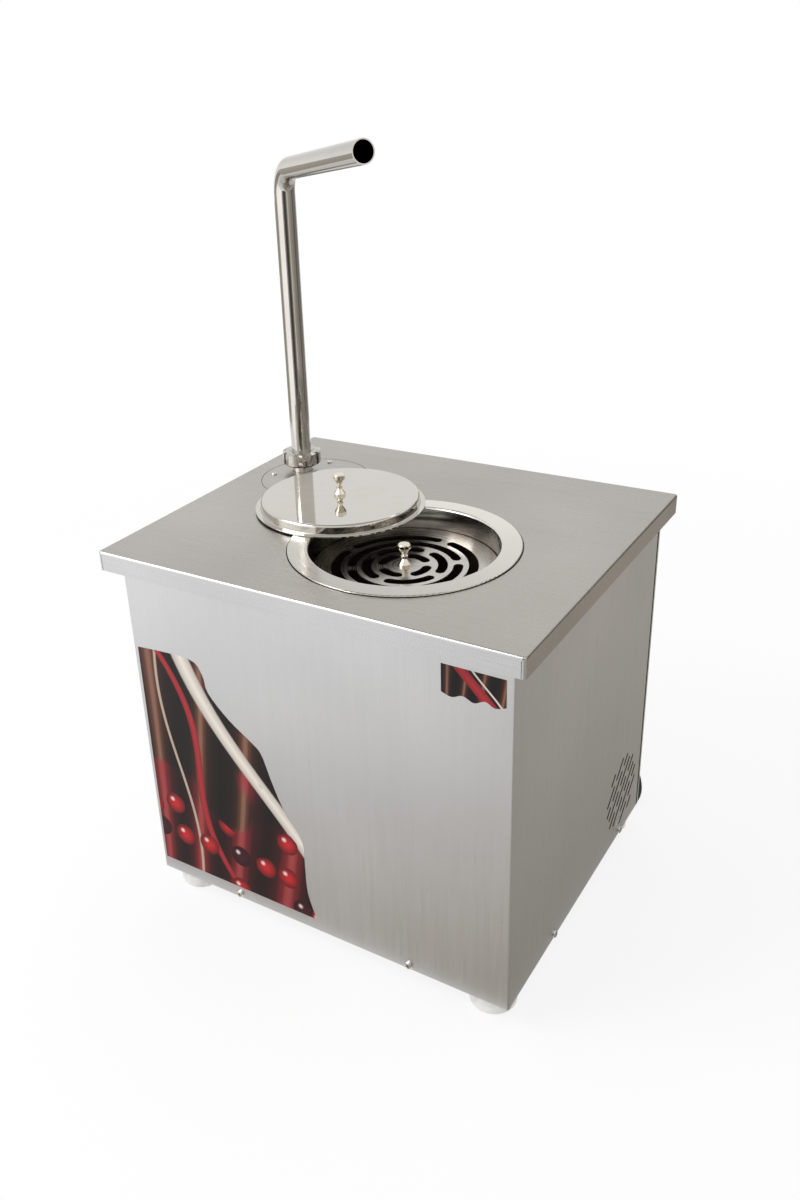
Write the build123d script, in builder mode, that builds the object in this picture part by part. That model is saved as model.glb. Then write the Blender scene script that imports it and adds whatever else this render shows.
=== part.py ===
from build123d import *
import math
import os

os.makedirs("parts", exist_ok=True)

# A table-top chocolate tempering machine. Millimetres, +Z up, the front faces -Y.
# The origin is on the table, under the middle of the worktop.

# Overall sizes
worktop_width = 520.0
worktop_depth = 440.0
body_height = 454.0
foot_stand = 28.0
side_overhang = 17.0
front_overhang = 18.0

# Sheet metal
sheet = 1.2
top_sheet = 1.5
skirt_height = 23.0
skirt_return = 8.0
skirt_corner = 4.0
fold_radius = 2.5
casing_corner = 2.4
cover_flange = 7.0
seam_gap = 0.6
pan_flange = 13.0
post_leg = 17.6
post_wall = 2.0
overrun = 5.0
seat_gap = 0.3
running = 0.05
hole_gap = 0.1

# Bowl, grate and lid
bowl_x = 41.0
bowl_y = -52.0
bowl_opening = 105.5
bowl_flange = 129.5
bowl_wall = 2.0
bowl_hole_gap = 1.0
bowl_roll = 3.0
ledge_bend = 1.0
grate_drop = 25.0
grate_thickness = 2.0
grate_gap = 1.0
ledge_width = 9.5
bowl_cylinder = 70.0
bowl_cone = 40.0
neck_bore = 10.5
neck_length = 20.0
neck_flange = 20.0
neck_flange_thickness = 4.0

slot_width = 11.0
slot_web = 9.0
slot_pitch = 17.0
first_slot_radius = 25.5
slot_rings = 4
slots_in_ring = 4
slot_turn = 48.0
slot_start = 34.0

lid_x = -84.0
lid_y = 14.0
lid_lip = 102.0
lid_side = 96.0
lid_top_radius = 95.0
lid_height = 12.0
lid_edge_bend = 3.5
lid_lip_bend = 0.8

# Turned knob, the same on the lid and the grate
knob_height = 26.0
knob_foot_radius = 7.0
knob_waist_radius = 2.7
knob_ring_radius = 3.9
knob_head_radius = 7.2
stud_radius = 2.0
stud_length = 5.0
nut_across = 7.0
nut_height = 3.2
knob_foot_share = 0.1
knob_waist_share = 0.32
knob_ring_share = 0.37
knob_ring_height_share = 0.09
knob_neck_share = 0.52
knob_head_share = 0.8
knob_rim_share = 0.04

# Spout, union and riser
tube_x = -197.0
tube_y = 100.0
tube_radius = 12.7
tube_wall = 1.4
neck_show = 10.0
union_height = 18.0
union_radius = 24.5
union_bevel = 4.0
union_slots = 6
union_slot_width = 5.0
union_slot_depth = 2.5
male_radius = 19.0
male_height = 9.0
collar_gap = 0.2
gasket_thickness = 1.2
gasket_bore = 12.0
liner_flange = 3.0
liner_radius = 18.6
liner_hub = 15.3
spout_rise = 372.0
spout_bend = 30.0
arm_length = 230.0
arm_turn = -34.0
arm_lift = 8.0
riser_bend = 38.0
riser_drop = 88.0
riser_flange = 20.0
riser_flange_thickness = 4.0

# Round cover plate let into the worktop beside the bowl
disc_x = -166.0
disc_y = 83.0
disc_radius = 69.0
disc_gap = 0.5
tube_hole_gap = 0.5
ring_outer_radius = 74.5
ring_thickness = 2.0
ring_inner_radius = 52.0
disc_screw_spread = 57.0
disc_screw_first = 104.0
disc_screw_step = 90.0
disc_screw_count = 3
disc_screw_radius = 3.4
disc_screw_head = 1.8
disc_screw_shank = 1.75

# Pump
gear_module = 3.5
gear_teeth = 12
gear_width = 22.0
addendum_share = 0.85
dedendum_share = 1.25
gear_backlash = 0.5
tip_gap = 0.3
side_gap = 0.3
pressure_angle = 20.0
pump_wall = 9.0
pump_back_wall = 10.0
pump_cover_thickness = 8.0
port_length = 10.0
shaft_radius = 6.0
seal_radius = 10.0
seal_thickness = 6.0
spacer_radius = 4.5
spacer_offset = 19.0
spacer_length = 32.0
cover_screw_radius = 4.2
cover_screw_head = 4.0
cover_screw_depth = 9.0
cover_screw_socket = 2.0
bearing_depth = 6.0

# Gearmotor and its stand
gearbox_side = 84.0
gearbox_length = 46.0
gearbox_corner = 8.0
motor_radius = 38.0
motor_length = 96.0
motor_collar = 4.0
motor_fins = 7
motor_fin_depth = 1.6
motor_fin_width = 4.0
output_depth = 24.0
stand_sheet = 2.5
stand_width = 60.0
stand_foot = 22.0
stand_bend = 4.0

# Screws
screw_head_radius = 5.0
screw_head_height = 3.0
screw_shank_radius = 2.5
screw_shank = 7.0
screw_dome_share = 0.7
casing_screw_rise = 5.5
front_screw_x = 120.0
side_screw_from_front = 127.0
side_screw_from_back = 77.0

# Feet
foot_radius = 27.0
foot_round = 6.0
foot_inset = 33.0
foot_well = 9.0
foot_well_depth = 12.0

# Fan and vent
fan_from_back = 79.0
fan_stud_radius = 2.0
fan_nut_radius = 4.0
fan_nut_height = 3.0
fan_rise = 68.0
fan_side = 119.0
fan_depth = 25.0
fan_corner = 6.0
fan_bore_radius = 56.0
fan_hub_radius = 19.0
fan_blades = 7
fan_blade_angle = 38.0
fan_blade_thickness = 1.6
fan_blade_width = 22.0
fan_tip_gap = 1.5
fan_strut = 5.0
fan_struts = 4
fan_pin_radius = 2.5
fan_plate = 3.0
fan_rim = 2.0
fan_hole_spacing = 105.0
vent_radius = 55.0
vent_slot_length = 34.0
vent_slot_width = 3.2
vent_pitch = 8.0
vent_row_pitch = 38.0
vent_tilt = 42.0

# Bowl heater, insulation and probe
heater_height = 46.0
heater_thickness = 3.0
heater_drop = 8.0
jacket_thickness = 12.0
probe_radius = 3.0
probe_length = 30.0
probe_sleeve = 5.0
probe_angle = 200.0

# Controls on the left-hand side
control_from_front = 92.0
control_drop = 87.0
bezel_width = 77.0
bezel_height = 35.0
bezel_depth = 3.0
control_width = 70.0
control_height = 28.4
control_depth = 62.0
cutout_gap = 0.4
lens_width = 34.0
lens_height = 15.0
lens_depth = 1.2
button_width = 8.0
button_height = 5.0
button_pitch = 12.0
button_travel = 0.8
button_proud = 1.0
button_flange = 1.0
button_lip = 1.0
button_row_share = 0.25
lens_row_share = 0.2
rocker_from_control = 72.0
rocker_pitch = 34.0
rocker_case_width = 21.0
rocker_case_height = 30.0
rocker_frame = 1.5
rocker_frame_depth = 2.0
rocker_depth = 24.0
rocker_pocket_depth = 9.0
rocker_pocket_width = 15.6
rocker_pocket_length = 23.6
rocker_side_gap = 0.4
rocker_swing_gap = 0.9
rocker_tilt = 9.0
rocker_middle = 2.8
rocker_end = 4.6
rocker_back = 4.0
rocker_taper = 3.0

# Electrics on the pan
block_length = 62.0
block_width = 22.0
block_height = 18.0
block_ways = 6
block_screw_depth = 6.0
block_from_side = 93.0
block_from_front = 82.0
relay_from_block = 100.0
relay_width = 45.0
relay_length = 60.0
relay_height = 24.0

# Cord
cord_radius = 3.3
gland_from_side = 37.0
gland_rise = 32.0
gland_thread = 6.0
gland_flange = 9.0
gland_nut_depth = 5.0
gland_tip = 5.0
gland_reach = 14.0
cord_out = 44.0
cord_side_x = 240.0
cord_side_z = 28.0
cord_floor_x = 238.0
cord_floor_y = 222.0
cord_meet_x = 160.0
cord_meet_y = 229.0
bend_share = 0.45
coil_x = 96.0
coil_y = 272.0
coil_radius = 37.0
coil_bundle = 9.5
coil_tail_x = 142.0
plug_radius = 18.0
plug_tail = 7.0
plug_neck = 22.0
plug_length = 38.0
pin_radius = 2.4
pin_length = 19.0
pin_pitch = 19.0


# Planes of the sheet metal, and places that follow them
worktop_top = foot_stand + body_height
worktop_under = worktop_top - top_sheet
skirt_bottom = worktop_top - skirt_height
casing_half = worktop_width / 2 - side_overhang
casing_front = front_overhang - worktop_depth / 2
casing_back = worktop_depth / 2
wrap_back = casing_back - cover_flange - seam_gap
pan_half = casing_half - sheet
pan_front = casing_front + sheet
pan_back = casing_back - sheet
pan_top = foot_stand + sheet
inner_half = pan_half - sheet
inner_front = pan_front + sheet
posts_back = casing_back - top_sheet
side_screws_y = (casing_front + side_screw_from_front, casing_back - side_screw_from_back)
fan_y = casing_back - fan_from_back
fan_z = foot_stand + fan_rise
control_y = casing_front + control_from_front
control_z = worktop_top - control_drop
rocker_y = control_y + rocker_from_control
gland_x = casing_half - gland_from_side
gland_z = foot_stand + gland_rise
screw_hole = screw_shank_radius + hole_gap


def polar(radius, degrees):
    angle = math.radians(degrees)
    return radius * math.cos(angle), radius * math.sin(angle)


def finish(part, label):
    part.label = label
    export_step(part, "parts/" + label + ".step")


# Worktop: a folded sheet with a skirt on four sides
with BuildPart() as worktop:
    with BuildSketch(Plane.XY.offset(skirt_bottom)):
        RectangleRounded(worktop_width, worktop_depth, skirt_corner)
    extrude(amount=skirt_height)
    fillet(worktop.faces().sort_by(Axis.Z)[-1].edges(), radius=fold_radius)
    with BuildSketch(Plane.XY.offset(skirt_bottom)):
        RectangleRounded(worktop_width - 2 * top_sheet, worktop_depth - 2 * top_sheet,
                         skirt_corner - top_sheet)
    extrude(amount=skirt_height - top_sheet, mode=Mode.SUBTRACT)
    with BuildSketch(Plane.XY.offset(skirt_bottom)):
        RectangleRounded(worktop_width - 2 * top_sheet, worktop_depth - 2 * top_sheet,
                         skirt_corner - top_sheet)
        with Locations((0, top_sheet + skirt_return)):
            Rectangle(worktop_width - 2 * (top_sheet + skirt_return),
                      worktop_depth, mode=Mode.SUBTRACT)
    extrude(amount=top_sheet)
    with BuildSketch(Plane.XY.offset(worktop_under)):
        with Locations((bowl_x, bowl_y)):
            Circle(bowl_opening + bowl_wall + bowl_hole_gap)
        with Locations((disc_x, disc_y)):
            Circle(disc_radius + disc_gap)
    extrude(amount=top_sheet, mode=Mode.SUBTRACT)
finish(worktop.part, "worktop")

# Vent slots: slanted, in staggered rows, inside a round field


def vent_slots():
    across = int(vent_radius / vent_pitch)
    along = math.ceil(vent_radius / vent_row_pitch)
    places = []
    for column in range(-across, across + 1):
        for row in range(-along, along + 1):
            run = (row + (column % 2) / 2) * vent_row_pitch
            half = (vent_slot_length - vent_slot_width) / 2
            reach = math.sqrt(max(vent_radius ** 2 - (column * vent_pitch) ** 2, 0))
            low = max(run - half, -reach)
            high = min(run + half, reach)
            if high - low > vent_slot_width * 2:
                places.append((column * vent_pitch, (low + high) / 2, high - low))
    return places


# Casing: one sheet wrapped round the front and both sides
with BuildPart() as casing_wrap:
    with BuildSketch(Plane.XY.offset(foot_stand)):
        with BuildLine():
            FilletPolyline((-casing_half, wrap_back), (-casing_half, casing_front),
                           (casing_half, casing_front), (casing_half, wrap_back),
                           radius=casing_corner)
            offset(amount=sheet, side=Side.LEFT)
        make_face()
    extrude(amount=worktop_under - foot_stand)
    with BuildSketch(Plane(origin=(casing_half, fan_y, fan_z), x_dir=(0, 1, 0), z_dir=(1, 0, 0))):
        for across, along, length in vent_slots():
            centre = Vector(along, across).rotate(Axis.Z, vent_tilt)
            with Locations((centre.X, centre.Y)):
                SlotCenterToCenter(length, vent_slot_width, rotation=vent_tilt)
    extrude(amount=sheet + overrun, both=True, mode=Mode.SUBTRACT)
    with BuildSketch(Plane.YZ.offset(-casing_half)):
        with Locations((control_y, control_z)):
            Rectangle(control_width + cutout_gap, control_height + cutout_gap)
        for row in range(2):
            with Locations((rocker_y + row * rocker_pitch, control_z)):
                Rectangle(rocker_case_width - 2 * rocker_frame + cutout_gap,
                          rocker_case_height - 2 * rocker_frame + cutout_gap)
    extrude(amount=sheet + overrun, both=True, mode=Mode.SUBTRACT)
    with BuildSketch(Plane.XZ.offset(-casing_front)):
        with Locations((-front_screw_x, foot_stand + casing_screw_rise),
                       (front_screw_x, foot_stand + casing_screw_rise)):
            Circle(screw_hole)
    extrude(amount=sheet + overrun, both=True, mode=Mode.SUBTRACT)
    with BuildSketch(Plane.YZ):
        with Locations(*[(y, foot_stand + casing_screw_rise) for y in side_screws_y]):
            Circle(screw_hole)
    extrude(amount=casing_half + overrun, both=True, mode=Mode.SUBTRACT)
finish(casing_wrap.part, "casing_wrap")

# Back cover: a shallow tray with its sides folded forward
cover_top = skirt_bottom - seam_gap
back_screw_x = inner_half - post_leg / 2
back_screw_places = [(side * back_screw_x, z)
                     for side in (-1, 1)
                     for z in (foot_stand + casing_screw_rise + post_leg,
                               (foot_stand + cover_top) / 2, cover_top - post_leg)]
with BuildPart() as back_cover:
    with BuildSketch(Plane.XY.offset(foot_stand)):
        with BuildLine():
            FilletPolyline((casing_half, casing_back - cover_flange), (casing_half, casing_back),
                           (-casing_half, casing_back), (-casing_half, casing_back - cover_flange),
                           radius=casing_corner)
            offset(amount=sheet, side=Side.LEFT)
        make_face()
    extrude(amount=cover_top - foot_stand)
    with BuildSketch(Plane.XZ.offset(-casing_back)):
        with Locations(*back_screw_places):
            Circle(screw_hole)
        with Locations((gland_x, gland_z)):
            Circle(gland_thread + hole_gap)
    extrude(amount=sheet + overrun, both=True, mode=Mode.SUBTRACT)
finish(back_cover.part, "back_cover")

# Bottom pan: floor with an upturned flange, drilled for the feet, stand and screws
foot_places = [(x, y) for x in (-casing_half + foot_inset, casing_half - foot_inset)
               for y in (casing_front + foot_inset, casing_back - foot_inset)]
gear_pitch = gear_module * gear_teeth / 2
gear_tip = gear_pitch + addendum_share * gear_module
gear_root = gear_pitch - dedendum_share * gear_module
drive_x = bowl_x - gear_pitch
idler_x = bowl_x + gear_pitch
bowl_ledge = worktop_top - grate_drop - grate_thickness - seat_gap
cone_top = bowl_ledge - bowl_cylinder
neck_top = cone_top - bowl_cone
neck_bottom = neck_top - neck_length
pump_half_height = gear_tip + tip_gap + pump_wall
pump_z = neck_bottom - port_length - pump_half_height
cavity_front = bowl_y - gear_width / 2 - side_gap
cavity_back = bowl_y + gear_width / 2 + side_gap
pump_back = cavity_back + pump_back_wall
gearbox_front = pump_back + spacer_length
gearbox_back = gearbox_front + gearbox_length
stand_top = pump_z - gearbox_side / 2
stand_screw_places = [(drive_x + side * (stand_width / 2 - stand_foot / 2), y)
                      for side in (-1, 1)
                      for y in (gearbox_front - stand_foot / 2, gearbox_back + stand_foot / 2)]
with BuildPart() as bottom_pan:
    with BuildSketch(Plane.XY.offset(foot_stand)):
        with Locations((0, (pan_front + pan_back) / 2)):
            Rectangle(2 * pan_half, pan_back - pan_front)
    extrude(amount=pan_flange)
    fillet(bottom_pan.edges().filter_by(Axis.Z), radius=casing_corner - sheet)
    with BuildSketch(Plane.XY.offset(pan_top)):
        with Locations((0, (inner_front + pan_back) / 2)):
            Rectangle(2 * inner_half, pan_back - inner_front)
    extrude(amount=pan_flange, mode=Mode.SUBTRACT)
    with BuildSketch(Plane.XY.offset(foot_stand)):
        with Locations(*foot_places, *stand_screw_places):
            Circle(screw_hole)
    extrude(amount=sheet, mode=Mode.SUBTRACT)
    with BuildSketch(Plane.XZ.offset(-pan_front)):
        with Locations((-front_screw_x, foot_stand + casing_screw_rise),
                       (front_screw_x, foot_stand + casing_screw_rise)):
            Circle(screw_hole)
    extrude(amount=sheet + overrun, both=True, mode=Mode.SUBTRACT)
    with BuildSketch(Plane.YZ):
        with Locations(*[(y, foot_stand + casing_screw_rise) for y in side_screws_y]):
            Circle(screw_hole)
    extrude(amount=pan_half + overrun, both=True, mode=Mode.SUBTRACT)
finish(bottom_pan.part, "bottom_pan")

# Corner posts: four angles between the pan and the worktop
with BuildPart() as corner_posts:
    for x_side in (-1, 1):
        for y_side, corner_y in ((-1, inner_front), (1, posts_back)):
            with BuildSketch(Plane.XY.offset(pan_top)):
                with Locations((x_side * inner_half, corner_y)):
                    Rectangle(post_leg, post_leg,
                              align=(Align.MIN if x_side < 0 else Align.MAX,
                                     Align.MIN if y_side < 0 else Align.MAX))
                with Locations((x_side * (inner_half - post_wall), corner_y - y_side * post_wall)):
                    Rectangle(post_leg, post_leg,
                              align=(Align.MIN if x_side < 0 else Align.MAX,
                                     Align.MIN if y_side < 0 else Align.MAX),
                              mode=Mode.SUBTRACT)
            extrude(amount=worktop_under - pan_top)
    with BuildSketch(Plane.XZ.offset(-posts_back)):
        with Locations(*back_screw_places):
            Circle(screw_hole)
    extrude(amount=post_wall + overrun, mode=Mode.SUBTRACT)
finish(corner_posts.part, "corner_posts")

# Feet: round white plastic with a rounded lower edge
foot_names = ("foot_front_left", "foot_back_left", "foot_front_right", "foot_back_right")
for foot_name, (foot_x, foot_y) in zip(foot_names, foot_places):
    with BuildPart() as foot:
        with BuildSketch(Plane(origin=(foot_x, foot_y, 0), x_dir=(1, 0, 0), z_dir=(0, -1, 0))):
            with BuildLine():
                Polyline((0, foot_well_depth), (foot_well, foot_well_depth), (foot_well, 0),
                         (foot_radius - foot_round, 0))
                RadiusArc((foot_radius - foot_round, 0), (foot_radius, foot_round), -foot_round)
                Polyline((foot_radius, foot_round), (foot_radius, foot_stand), (0, foot_stand),
                         (0, foot_well_depth))
            make_face()
        revolve(axis=Axis((foot_x, foot_y, 0), (0, 0, 1)))
        with BuildSketch(Plane.XY.offset(foot_stand)):
            with Locations((foot_x, foot_y)):
                Circle(screw_hole)
        extrude(amount=-screw_shank, mode=Mode.SUBTRACT)
    finish(foot.part, foot_name)


# Pan-head screw: head above the seat, shank below it
with BuildPart() as pan_head:
    with BuildSketch(Plane.XY):
        Circle(screw_head_radius)
    extrude(amount=screw_head_height)
    fillet(pan_head.faces().sort_by(Axis.Z)[-1].edges(),
           radius=screw_head_height * screw_dome_share)
    with BuildSketch(Plane.XY):
        Circle(screw_shank_radius)
    extrude(amount=-screw_shank)


def add_screws(places, direction):
    for place in places:
        with Locations(Plane(origin=place, z_dir=direction).location):
            add(pan_head.part)


with BuildPart() as pan_screws:
    add_screws([(x, y, pan_top) for x, y in foot_places], (0, 0, 1))
    add_screws([(x, y, pan_top + stand_sheet) for x, y in stand_screw_places], (0, 0, 1))
finish(pan_screws.part, "pan_screws")

with BuildPart() as casing_screws:
    casing_screw_z = foot_stand + casing_screw_rise
    add_screws([(side * front_screw_x, casing_front, casing_screw_z) for side in (-1, 1)],
               (0, -1, 0))
    for side in (-1, 1):
        add_screws([(side * casing_half, y, casing_screw_z) for y in side_screws_y], (side, 0, 0))
finish(casing_screws.part, "casing_screws")

with BuildPart() as back_screws:
    add_screws([(x, casing_back, z) for x, z in back_screw_places], (0, 1, 0))
finish(back_screws.part, "back_screws")

# Cover plate round the riser, flush with the worktop, on a ring welded under it
disc_screw_places = []
for number in range(disc_screw_count):
    across, along = polar(disc_screw_spread, disc_screw_first + number * disc_screw_step)
    disc_screw_places.append((disc_x + across, disc_y + along))
with BuildPart() as cover_disc:
    with BuildSketch(Plane.XY.offset(worktop_under)):
        with Locations((disc_x, disc_y)):
            Circle(disc_radius)
        with Locations((tube_x, tube_y)):
            Circle(tube_radius + tube_hole_gap, mode=Mode.SUBTRACT)
        with Locations(*disc_screw_places):
            Circle(disc_screw_shank + hole_gap, mode=Mode.SUBTRACT)
    extrude(amount=top_sheet)
finish(cover_disc.part, "cover_disc")

with BuildPart() as cover_ring:
    with BuildSketch(Plane.XY.offset(worktop_under)):
        with Locations((disc_x, disc_y)):
            Circle(ring_outer_radius)
            Circle(ring_inner_radius, mode=Mode.SUBTRACT)
        with Locations(*disc_screw_places):
            Circle(disc_screw_shank + hole_gap, mode=Mode.SUBTRACT)
    extrude(amount=-ring_thickness)
finish(cover_ring.part, "cover_ring")

with BuildPart() as disc_screws:
    with BuildSketch(Plane.XY.offset(worktop_top)):
        with Locations(*disc_screw_places):
            Circle(disc_screw_radius)
    extrude(amount=disc_screw_head)
    fillet(disc_screws.faces().group_by(Axis.Z)[-1].edges(), radius=disc_screw_head / 2)
    with BuildSketch(Plane.XY.offset(worktop_top)):
        with Locations(*disc_screw_places):
            Circle(disc_screw_shank)
    extrude(amount=-(top_sheet + ring_thickness + disc_screw_head))
finish(disc_screws.part, "disc_screws")

# Bowl: rolled flange, step for the grate, heated cylinder, cone and outlet neck
bowl_top = worktop_top + bowl_wall
ledge_radius = bowl_opening - ledge_width
bowl_plane = Plane(origin=(bowl_x, bowl_y, 0), x_dir=(1, 0, 0), z_dir=(0, -1, 0))
bowl_axis = Axis((bowl_x, bowl_y, 0), (0, 0, 1))
heater_top = bowl_ledge - bowl_wall - heater_drop
heater_bottom = heater_top - heater_height
probe_z = cone_top + probe_sleeve
probe_x, probe_y = polar(1, probe_angle)
probe_plane = Plane(origin=(bowl_x, bowl_y, probe_z), z_dir=(probe_x, probe_y, 0))
with BuildPart() as bowl:
    with BuildSketch(bowl_plane):
        with BuildLine():
            FilletPolyline((bowl_flange, bowl_top), (bowl_opening, bowl_top),
                           (bowl_opening, bowl_ledge), (ledge_radius, bowl_ledge),
                           (ledge_radius, cone_top), (neck_bore, neck_top),
                           (neck_bore, neck_bottom),
                           radius=(bowl_roll, ledge_bend, bowl_roll, bowl_roll, bowl_roll))
            offset(amount=bowl_wall, side=Side.LEFT)
        make_face()
    revolve(axis=bowl_axis)
    with BuildSketch(Plane.XY.offset(neck_bottom)):
        with Locations((bowl_x, bowl_y)):
            Circle(neck_flange)
            Circle(neck_bore, mode=Mode.SUBTRACT)
    extrude(amount=neck_flange_thickness)
    fillet(bowl.faces().sort_by(Axis.Z)[-1].outer_wire().edges(), radius=bowl_wall / 2)
    with BuildSketch(probe_plane):
        Circle(probe_radius + hole_gap)
    extrude(amount=bowl_opening, mode=Mode.SUBTRACT)
finish(bowl.part, "bowl")

bowl_outer = ledge_radius + bowl_wall
with BuildPart() as heater_band:
    with BuildSketch(Plane.XY.offset(heater_bottom)):
        with Locations((bowl_x, bowl_y)):
            Circle(bowl_outer + heater_thickness)
            Circle(bowl_outer, mode=Mode.SUBTRACT)
    extrude(amount=heater_height)
finish(heater_band.part, "heater_band")

with BuildPart() as bowl_jacket:
    with BuildSketch(Plane.XY.offset(heater_bottom)):
        with Locations((bowl_x, bowl_y)):
            Circle(bowl_outer + heater_thickness + jacket_thickness)
            Circle(bowl_outer + heater_thickness, mode=Mode.SUBTRACT)
    extrude(amount=heater_height)
finish(bowl_jacket.part, "bowl_jacket")

with BuildPart() as bowl_probe:
    with BuildSketch(probe_plane.offset(ledge_radius - probe_length / 2)):
        Circle(probe_radius)
    extrude(amount=probe_length)
    with BuildSketch(probe_plane.offset(bowl_outer)):
        Circle(probe_sleeve)
    extrude(amount=probe_sleeve)
finish(bowl_probe.part, "bowl_probe")

# Riser: from the pump's outlet down, across and up through the worktop
riser_top = neck_bottom - 2 * port_length - 2 * pump_half_height
riser_level = riser_top - riser_drop
union_bottom = worktop_top + neck_show
male_bottom = union_bottom + collar_gap
male_top = male_bottom + male_height
with BuildPart() as riser_pipe:
    with BuildLine() as riser_path:
        FilletPolyline((bowl_x, bowl_y, riser_top), (bowl_x, bowl_y, riser_level),
                       (tube_x, tube_y, riser_level), (tube_x, tube_y, male_top),
                       radius=riser_bend)
    with BuildSketch(Plane(origin=(bowl_x, bowl_y, riser_top), z_dir=(0, 0, -1))):
        Circle(tube_radius)
        Circle(tube_radius - tube_wall, mode=Mode.SUBTRACT)
    sweep(path=riser_path.line)
    with BuildSketch(Plane.XY.offset(riser_top)):
        with Locations((bowl_x, bowl_y)):
            Circle(riser_flange)
            Circle(tube_radius - tube_wall, mode=Mode.SUBTRACT)
    extrude(amount=-riser_flange_thickness)
    with BuildSketch(Plane.XY.offset(male_bottom)):
        with Locations((tube_x, tube_y)):
            Circle(male_radius)
            Circle(tube_radius - tube_wall, mode=Mode.SUBTRACT)
    extrude(amount=male_height)
finish(riser_pipe.part, "riser_pipe")

# Union: a gasket, a liner on the spout and the slotted nut that holds them down
liner_bottom = male_top + gasket_thickness + seat_gap
with BuildPart() as union_gasket:
    with BuildSketch(Plane.XY.offset(male_top)):
        with Locations((tube_x, tube_y)):
            Circle(liner_radius)
            Circle(gasket_bore, mode=Mode.SUBTRACT)
    extrude(amount=gasket_thickness)
finish(union_gasket.part, "union_gasket")

nut_top = union_bottom + union_height
nut_lip_bottom = liner_bottom + liner_flange + seat_gap
with BuildPart() as spout_liner:
    with BuildSketch(Plane.XY.offset(liner_bottom)):
        with Locations((tube_x, tube_y)):
            Circle(liner_radius)
            Circle(tube_radius, mode=Mode.SUBTRACT)
    extrude(amount=liner_flange)
    with BuildSketch(Plane.XY.offset(liner_bottom)):
        with Locations((tube_x, tube_y)):
            Circle(liner_hub)
            Circle(tube_radius, mode=Mode.SUBTRACT)
    extrude(amount=nut_top + seat_gap - liner_bottom)
finish(spout_liner.part, "spout_liner")

with BuildPart() as union_nut:
    with BuildSketch(Plane.XY.offset(union_bottom)):
        with Locations((tube_x, tube_y)):
            Circle(union_radius)
    extrude(amount=union_height)
    chamfer(union_nut.faces().sort_by(Axis.Z)[-1].edges(), length=union_bevel / 2,
            length2=union_bevel)
    chamfer(union_nut.faces().sort_by(Axis.Z)[0].edges(), length=union_bevel / 2)
    with BuildSketch(Plane.XY.offset(union_bottom)):
        with Locations((tube_x, tube_y)):
            Circle(male_radius + seat_gap)
    extrude(amount=nut_lip_bottom - union_bottom, mode=Mode.SUBTRACT)
    with BuildSketch(Plane.XY.offset(union_bottom)):
        with Locations((tube_x, tube_y)):
            Circle(liner_hub + seat_gap)
    extrude(amount=union_height, mode=Mode.SUBTRACT)
    with BuildSketch(Plane.XY.offset(union_bottom)):
        with Locations((tube_x, tube_y)):
            with PolarLocations(union_radius, union_slots):
                Rectangle(2 * union_slot_depth, union_slot_width)
    extrude(amount=union_height, mode=Mode.SUBTRACT)
finish(union_nut.part, "union_nut")

# Spout: one bent tube, its arm rising a little towards the bowl
spout_corner = Vector(tube_x, tube_y, worktop_top + spout_rise)
lift = math.radians(arm_lift)
arm_x, arm_y = polar(math.cos(lift), arm_turn)
spout_end = spout_corner + Vector(arm_x, arm_y, math.sin(lift)) * arm_length
with BuildPart() as spout_tube:
    with BuildLine() as spout_path:
        FilletPolyline((tube_x, tube_y, liner_bottom), spout_corner, spout_end,
                       radius=spout_bend)
    with BuildSketch(Plane.XY.offset(liner_bottom)):
        with Locations((tube_x, tube_y)):
            Circle(tube_radius)
            Circle(tube_radius - tube_wall, mode=Mode.SUBTRACT)
    sweep(path=spout_path.line)
finish(spout_tube.part, "spout_tube")


# Knobs of the grate and the lid, with their studs and nuts
def knob_outline(base_z, stud_drop):
    """Half section of the turned knob: foot, waist, ring, waist and flared head."""
    foot_top = knob_height * knob_foot_share
    waist_z = knob_height * knob_waist_share
    ring_z = knob_height * knob_ring_share
    ring_end = ring_z + knob_height * knob_ring_height_share
    neck_z = knob_height * knob_neck_share
    head_z = knob_height * knob_head_share
    rim = knob_height * knob_rim_share
    points = [(0, -stud_drop), (stud_radius, -stud_drop), (stud_radius, 0), (knob_foot_radius, 0),
              (knob_foot_radius, foot_top), (knob_waist_radius, waist_z),
              (knob_waist_radius, ring_z), (knob_ring_radius, ring_z),
              (knob_ring_radius, ring_end), (knob_waist_radius, ring_end),
              (knob_waist_radius, neck_z), (knob_head_radius, head_z),
              (knob_head_radius, knob_height - rim), (knob_head_radius - rim, knob_height),
              (0, knob_height)]
    return [(radius, base_z + height) for radius, height in points]


def knob_section(centre_x, centre_y, base_z):
    plane = Plane(origin=(centre_x, centre_y, 0), x_dir=(1, 0, 0), z_dir=(0, -1, 0))
    with BuildSketch(plane) as section:
        with BuildLine():
            Polyline(*knob_outline(base_z, stud_length), close=True)
        make_face()
    return section.sketch


grate_bottom = bowl_ledge + seat_gap
grate_top = grate_bottom + grate_thickness
grate_radius = bowl_opening - grate_gap
with BuildPart() as grate:
    with BuildSketch(Plane.XY.offset(grate_bottom)):
        with Locations((bowl_x, bowl_y)):
            Circle(grate_radius)
            Circle(stud_radius + hole_gap, mode=Mode.SUBTRACT)
            for ring in range(slot_rings):
                radius = first_slot_radius + ring * slot_pitch
                web = math.degrees((slot_web + slot_width) / radius)
                start = slot_start + (ring % 2) * slot_turn
                with PolarLocations(0, slots_in_ring, start):
                    SlotArc(CenterArc((0, 0), radius, web / 2, 360 / slots_in_ring - web,
                                      mode=Mode.PRIVATE), slot_width, mode=Mode.SUBTRACT)
    extrude(amount=grate_thickness)
finish(grate.part, "grate")

with BuildPart() as grate_knob:
    add(knob_section(bowl_x, bowl_y, grate_top))
    revolve(axis=bowl_axis)
finish(grate_knob.part, "grate_knob")

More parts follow.
